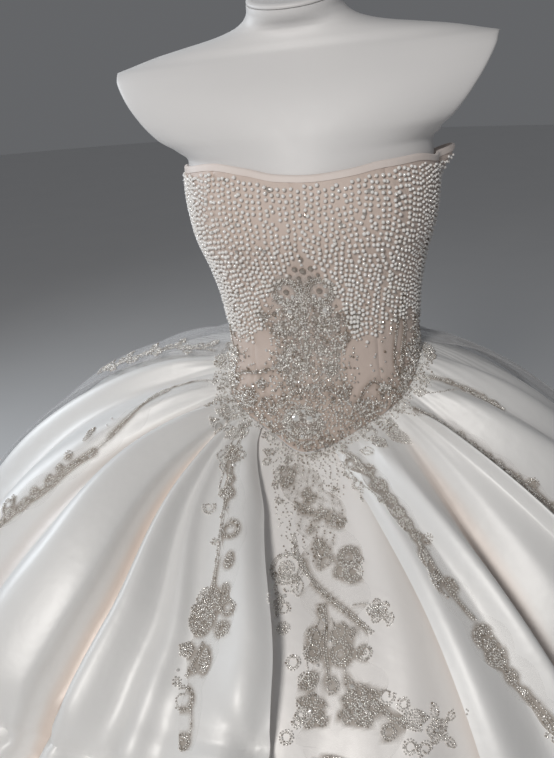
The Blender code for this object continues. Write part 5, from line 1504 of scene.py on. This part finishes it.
# The beading of the waist seam runs out over the first gathers of the skirt.
fringe = Beading(skirt_anchor)
fringe.strew(fringe_cover, (-104, 100), (0.003, 0.040), 0.0038, 0.5, 1.2)
for turn, angle in enumerate(range(-98, 96, 11)):
    kind, size = (("full_leaf", 17), ("hook", 7))[turn % 2]
    fringe.motif(kind, angle, 0.012, size, 180 + 0.6 * angle, 0.5)
fringe.motif("full_leaf", -38, 0.020, 30, 120, 0.2)
fringe.motif("full_leaf", -31, 0.026, 30, 165, 0.2)
fringe.motif("full_leaf", 31, 0.026, 34, 210, 0.2)
fringe.motif("ring", 24, 0.022, 9, 0, 0.3)
sew_down("waist_fringe", fringe, cloth, 0.0, 140)

# The pearls. Round glass pearls are sewn one by one in uneven rows that fan out from the
# crest, close together on the left, smaller on the right, with a dark stone here and there.
PEARL_RADIUS = 0.0025
PEARL_FLATNESS = 0.97
PEARL_UNEVENNESS = 0.06
PEARL_SEAT = 0.82
# How far a pearl strays to the side in degrees, and the lowest of a row up or down in metres
PEARL_STRAY = 0.42
PEARL_FOOT_STRAY = 0.005
PEARL_BELOW_BINDING = 0.0050
PEARLS_MISSING = 0.04
PEARL_TABLE_ANGLES = (-180, -95, -60, -47, 0, 44, 60, 95, 180)
PEARL_SIZES = (0.80, 0.82, 0.86, 0.92, 1.0, 1.0, 0.74, 0.66, 0.80)
PEARL_STEPS = (8.4, 5.8, 4.9, 6.3, 6.4, 6.2, 5.6, 5.8, 8.4)
PEARL_FAN = 0.26
PEARL_ROW_RADIUS = 0.122
PEARL_TOP = 0.226
PEARL_BOTTOM = -0.03
PEARL_LAST_ROW = 176.0
# The lowest pearls, by angle in degrees: below them the panels are beaded or plain
PEARL_FOOT = np.array([
    (-180, -0.02), (-110, 0.00), (-72, 0.022), (-52, 0.010), (-38, 0.010), (-26, 0.052), (-14, 0.094),
    (-5, 0.122), (3, 0.122), (10, 0.094), (17, 0.055), (24, 0.006), (34, 0.010), (47, 0.022), (75, 0.022),
    (110, 0.00), (180, -0.02)])
pearls = []
row_angle = -PEARL_LAST_ROW
while row_angle < PEARL_LAST_ROW:
    step = np.interp(row_angle, PEARL_TABLE_ANGLES, PEARL_STEPS) * MILLIMETRE
    height = PEARL_TOP - rng.uniform(0, step)
    while height > PEARL_BOTTOM:
        drawn_in = PEARL_FAN * soft_step((0.23 - height) / 0.24) * soft_step((70 - abs(row_angle)) / 40)
        angle = row_angle * (1 - drawn_in) + rng.normal(0, PEARL_STRAY)
        top = float(neckline(np.radians([angle]))[0]) - BINDING_DEPTH - PEARL_BELOW_BINDING
        foot = np.interp(angle, *PEARL_FOOT.T) + rng.normal(0, PEARL_FOOT_STRAY)
        if foot < height < top and rng.random() > PEARLS_MISSING:
            pearls.append((angle, height + rng.normal(0, 0.0003)))
        height -= step * rng.uniform(0.88, 1.10)
    row_angle += math.degrees(step * 0.93 / PEARL_ROW_RADIUS)
pearls = np.array(pearls)
at, normal, _, _ = bodice_anchor(pearls[:, 0], pearls[:, 1])
sizes = np.interp(pearls[:, 0], PEARL_TABLE_ANGLES, PEARL_SIZES)
tones = np.clip(rng.normal(0.35, 0.25, len(pearls)), 0, 1)

pearl = Finish("glass_pearl", Coat_Weight=0.8, Coat_Roughness=0.06)
pearl.colour((0.93, 0.92, 0.905), (0.80, 0.77, 0.73), pearl.measured("tone"))
pearl.feed("Roughness", 0.20 + 0.10 * pearl.measured("tone"))
pearl_tree = instancing_tree("sewn_pearls", 7, 4, True)
QUARTERS = {
    "left_back": (-180, -90), "left_front": (-90, -2), "right_front": (-2, 90), "right_back": (90, 180)}
for number, (quarter, (first, last)) in enumerate(QUARTERS.items()):
    kept = (pearls[:, 0] >= first) & (pearls[:, 0] < last)
    lift = PEARL_RADIUS * PEARL_SEAT + bodice_relief(np.radians(pearls[kept, 0]))
    places = at[kept] + normal[kept] * lift[:, None]
    sewn_on("pearls_" + quarter, pearl_tree, places, normal[kept], sizes[kept], tones[kept], pearl,
            PEARL_RADIUS, PEARL_FLATNESS, PEARL_UNEVENNESS, 200 + number)

# The single stones between the pearls
STONE_APART = 0.017
STONE_COUNT = 60
SCATTERED_LIFT = 0.0018
SCATTERED_FLATNESS = 0.7
SCATTERED_UNEVENNESS = 0.1
scattered = []
while len(scattered) < STONE_COUNT:
    angle, height = rng.uniform(-125, 125), rng.uniform(0.01, 0.215)
    if not np.interp(angle, *PEARL_FOOT.T) < height < float(neckline(np.radians([angle]))[0]) - 0.012:
        continue
    if all(math.hypot((angle - at_angle) * METRES_A_DEGREE, height - at_height) > STONE_APART
           for at_angle, at_height in scattered):
        scattered.append((angle, height))
scattered = np.array(scattered)
stone_at, stone_normal, _, _ = bodice_anchor(*scattered.T)
sewn_on("scattered_stones", stone_tree, stone_at + stone_normal * SCATTERED_LIFT, stone_normal,
        rng.uniform(0.0044, 0.0060, len(scattered)), rng.uniform(0.3, 0.9, len(scattered)), cut_stone,
        STONE_RADIUS, SCATTERED_FLATNESS, SCATTERED_UNEVENNESS, 301)

# The beading on the tulle. On the left the sheer layer carries a spray of pale leaves, sewn
# with the same beads to a fine stem that runs down from the waist.
VEIL_TONE = 0.45
VEIL_LEAVES = 9
tulle_faces = grid_faces(TULLE_COLUMNS, TULLE_ROWS)
tulle_ground = BVHTree.FromPolygons(tulle_tops["left"].reshape(-1, 3).tolist(), tulle_faces.tolist())
veil = Beading(skirt_anchor)
veil.stem([(-92, 0.03), (-96, 0.08), (-99, 0.14), (-101, 0.21), (-103, 0.30)], 2, VEIL_TONE)
for number, s in enumerate(np.linspace(0.05, 0.29, VEIL_LEAVES)):
    veil.motif("full_leaf", -94 - 28 * s, s, 24, (60, -70)[number % 2], VEIL_TONE)
    veil.motif("hook", -95 - 28 * s, s + 0.012, 7, (-110, 100)[number % 2], VEIL_TONE)
sew_down("veil", veil, tulle_ground, 0.0, 400)

# The floor, the light and the camera. The floor is a pale disc, wide enough to have no edge
# near the dress, and three soft lamps light it from the front, the left and behind.
FLOOR_RADIUS = 12
floor_finish = Finish("pale_floor", Roughness=0.7)
floor_finish.colour((0.80, 0.80, 0.80), (0.84, 0.835, 0.83), floor_finish.noise(3.0))
turns = np.linspace(0, 2 * math.pi, 96, endpoint=False)
floor_mesh = bpy.data.meshes.new("floor")
rim = [(FLOOR_RADIUS * math.cos(a), FLOOR_RADIUS * math.sin(a), 0.0) for a in turns]
floor_mesh.from_pydata(rim, [], [list(range(len(rim)))])
floor_mesh.materials.append(floor_finish.material)
floor = stand_in_scene("floor", floor_mesh)

world = bpy.data.worlds.new("studio")
world.use_nodes = True
world.node_tree.nodes["Background"].inputs["Color"].default_value = (0.80, 0.82, 0.86, 1)
world.node_tree.nodes["Background"].inputs["Strength"].default_value = 0.16
bpy.context.scene.world = world
bpy.context.scene.view_settings.view_transform = "Standard"
# Name, place, width and height in metres, power in watts, colour
LIGHTS = [
    ("key", (-0.4, -2.26, 2.3), 0.5, 0.5, 34.5, (1.0, 0.975, 0.945)),
    ("side", (-2.4, 0.5, 1.7), 0.8, 1.2, 24, (0.86, 0.93, 1.0)),
    ("rear", (-1.4, 2.4, 2.8), 1.5, 1.5, 6, (0.92, 0.96, 1.0)),
]
for name, place, width, height, power, colour in LIGHTS:
    lamp = bpy.data.lights.new(name, "AREA")
    lamp.shape = "RECTANGLE"
    lamp.size = width
    lamp.size_y = height
    lamp.energy = power
    lamp.color = colour
    light = stand_in_scene(name, lamp)
    light.location = place
    light.rotation_euler = (Vector((0, 0, 1.0)) - Vector(place)).to_track_quat("-Z", "Y").to_euler()

FOCAL_PIXELS = 760.0
PHOTO_SIZE = (554, 758)
AIM_PIXEL = (318.5, 338.0)
AIM = np.array([0.0, -0.05, WAIST_Z])
DISTANCE = 0.97
azimuth, elevation, roll = math.radians(8), math.radians(21), math.radians(-1.8)
back = np.array([
    math.sin(azimuth) * math.cos(elevation), -math.cos(azimuth) * math.cos(elevation), math.sin(elevation)])
eye = AIM + DISTANCE * back
right = unit(np.cross(-back, [0, 0, 1]))
up = np.cross(right, -back)
right, up = right * math.cos(roll) + up * math.sin(roll), up * math.cos(roll) - right * math.sin(roll)
# The view turns a little aside, so that the waist isn't in the middle of the picture
aside, above = (size / 2 - pixel for size, pixel in zip(PHOTO_SIZE, AIM_PIXEL))
look = unit(-FOCAL_PIXELS * back + aside * right - above * up)
right = unit(right - look * (right @ look))
up = np.cross(right, look)
lens = bpy.data.cameras.new("camera")
lens.sensor_width = 36.0
lens.lens = FOCAL_PIXELS * 36.0 / PHOTO_SIZE[1]
lens.clip_start = 0.05
camera = stand_in_scene("camera", lens)
camera.matrix_world = Matrix([(*row, 0.0) for row in np.column_stack([right, up, -look])] + [(0, 0, 0, 1)])
camera.location = eye
bpy.context.scene.camera = camera
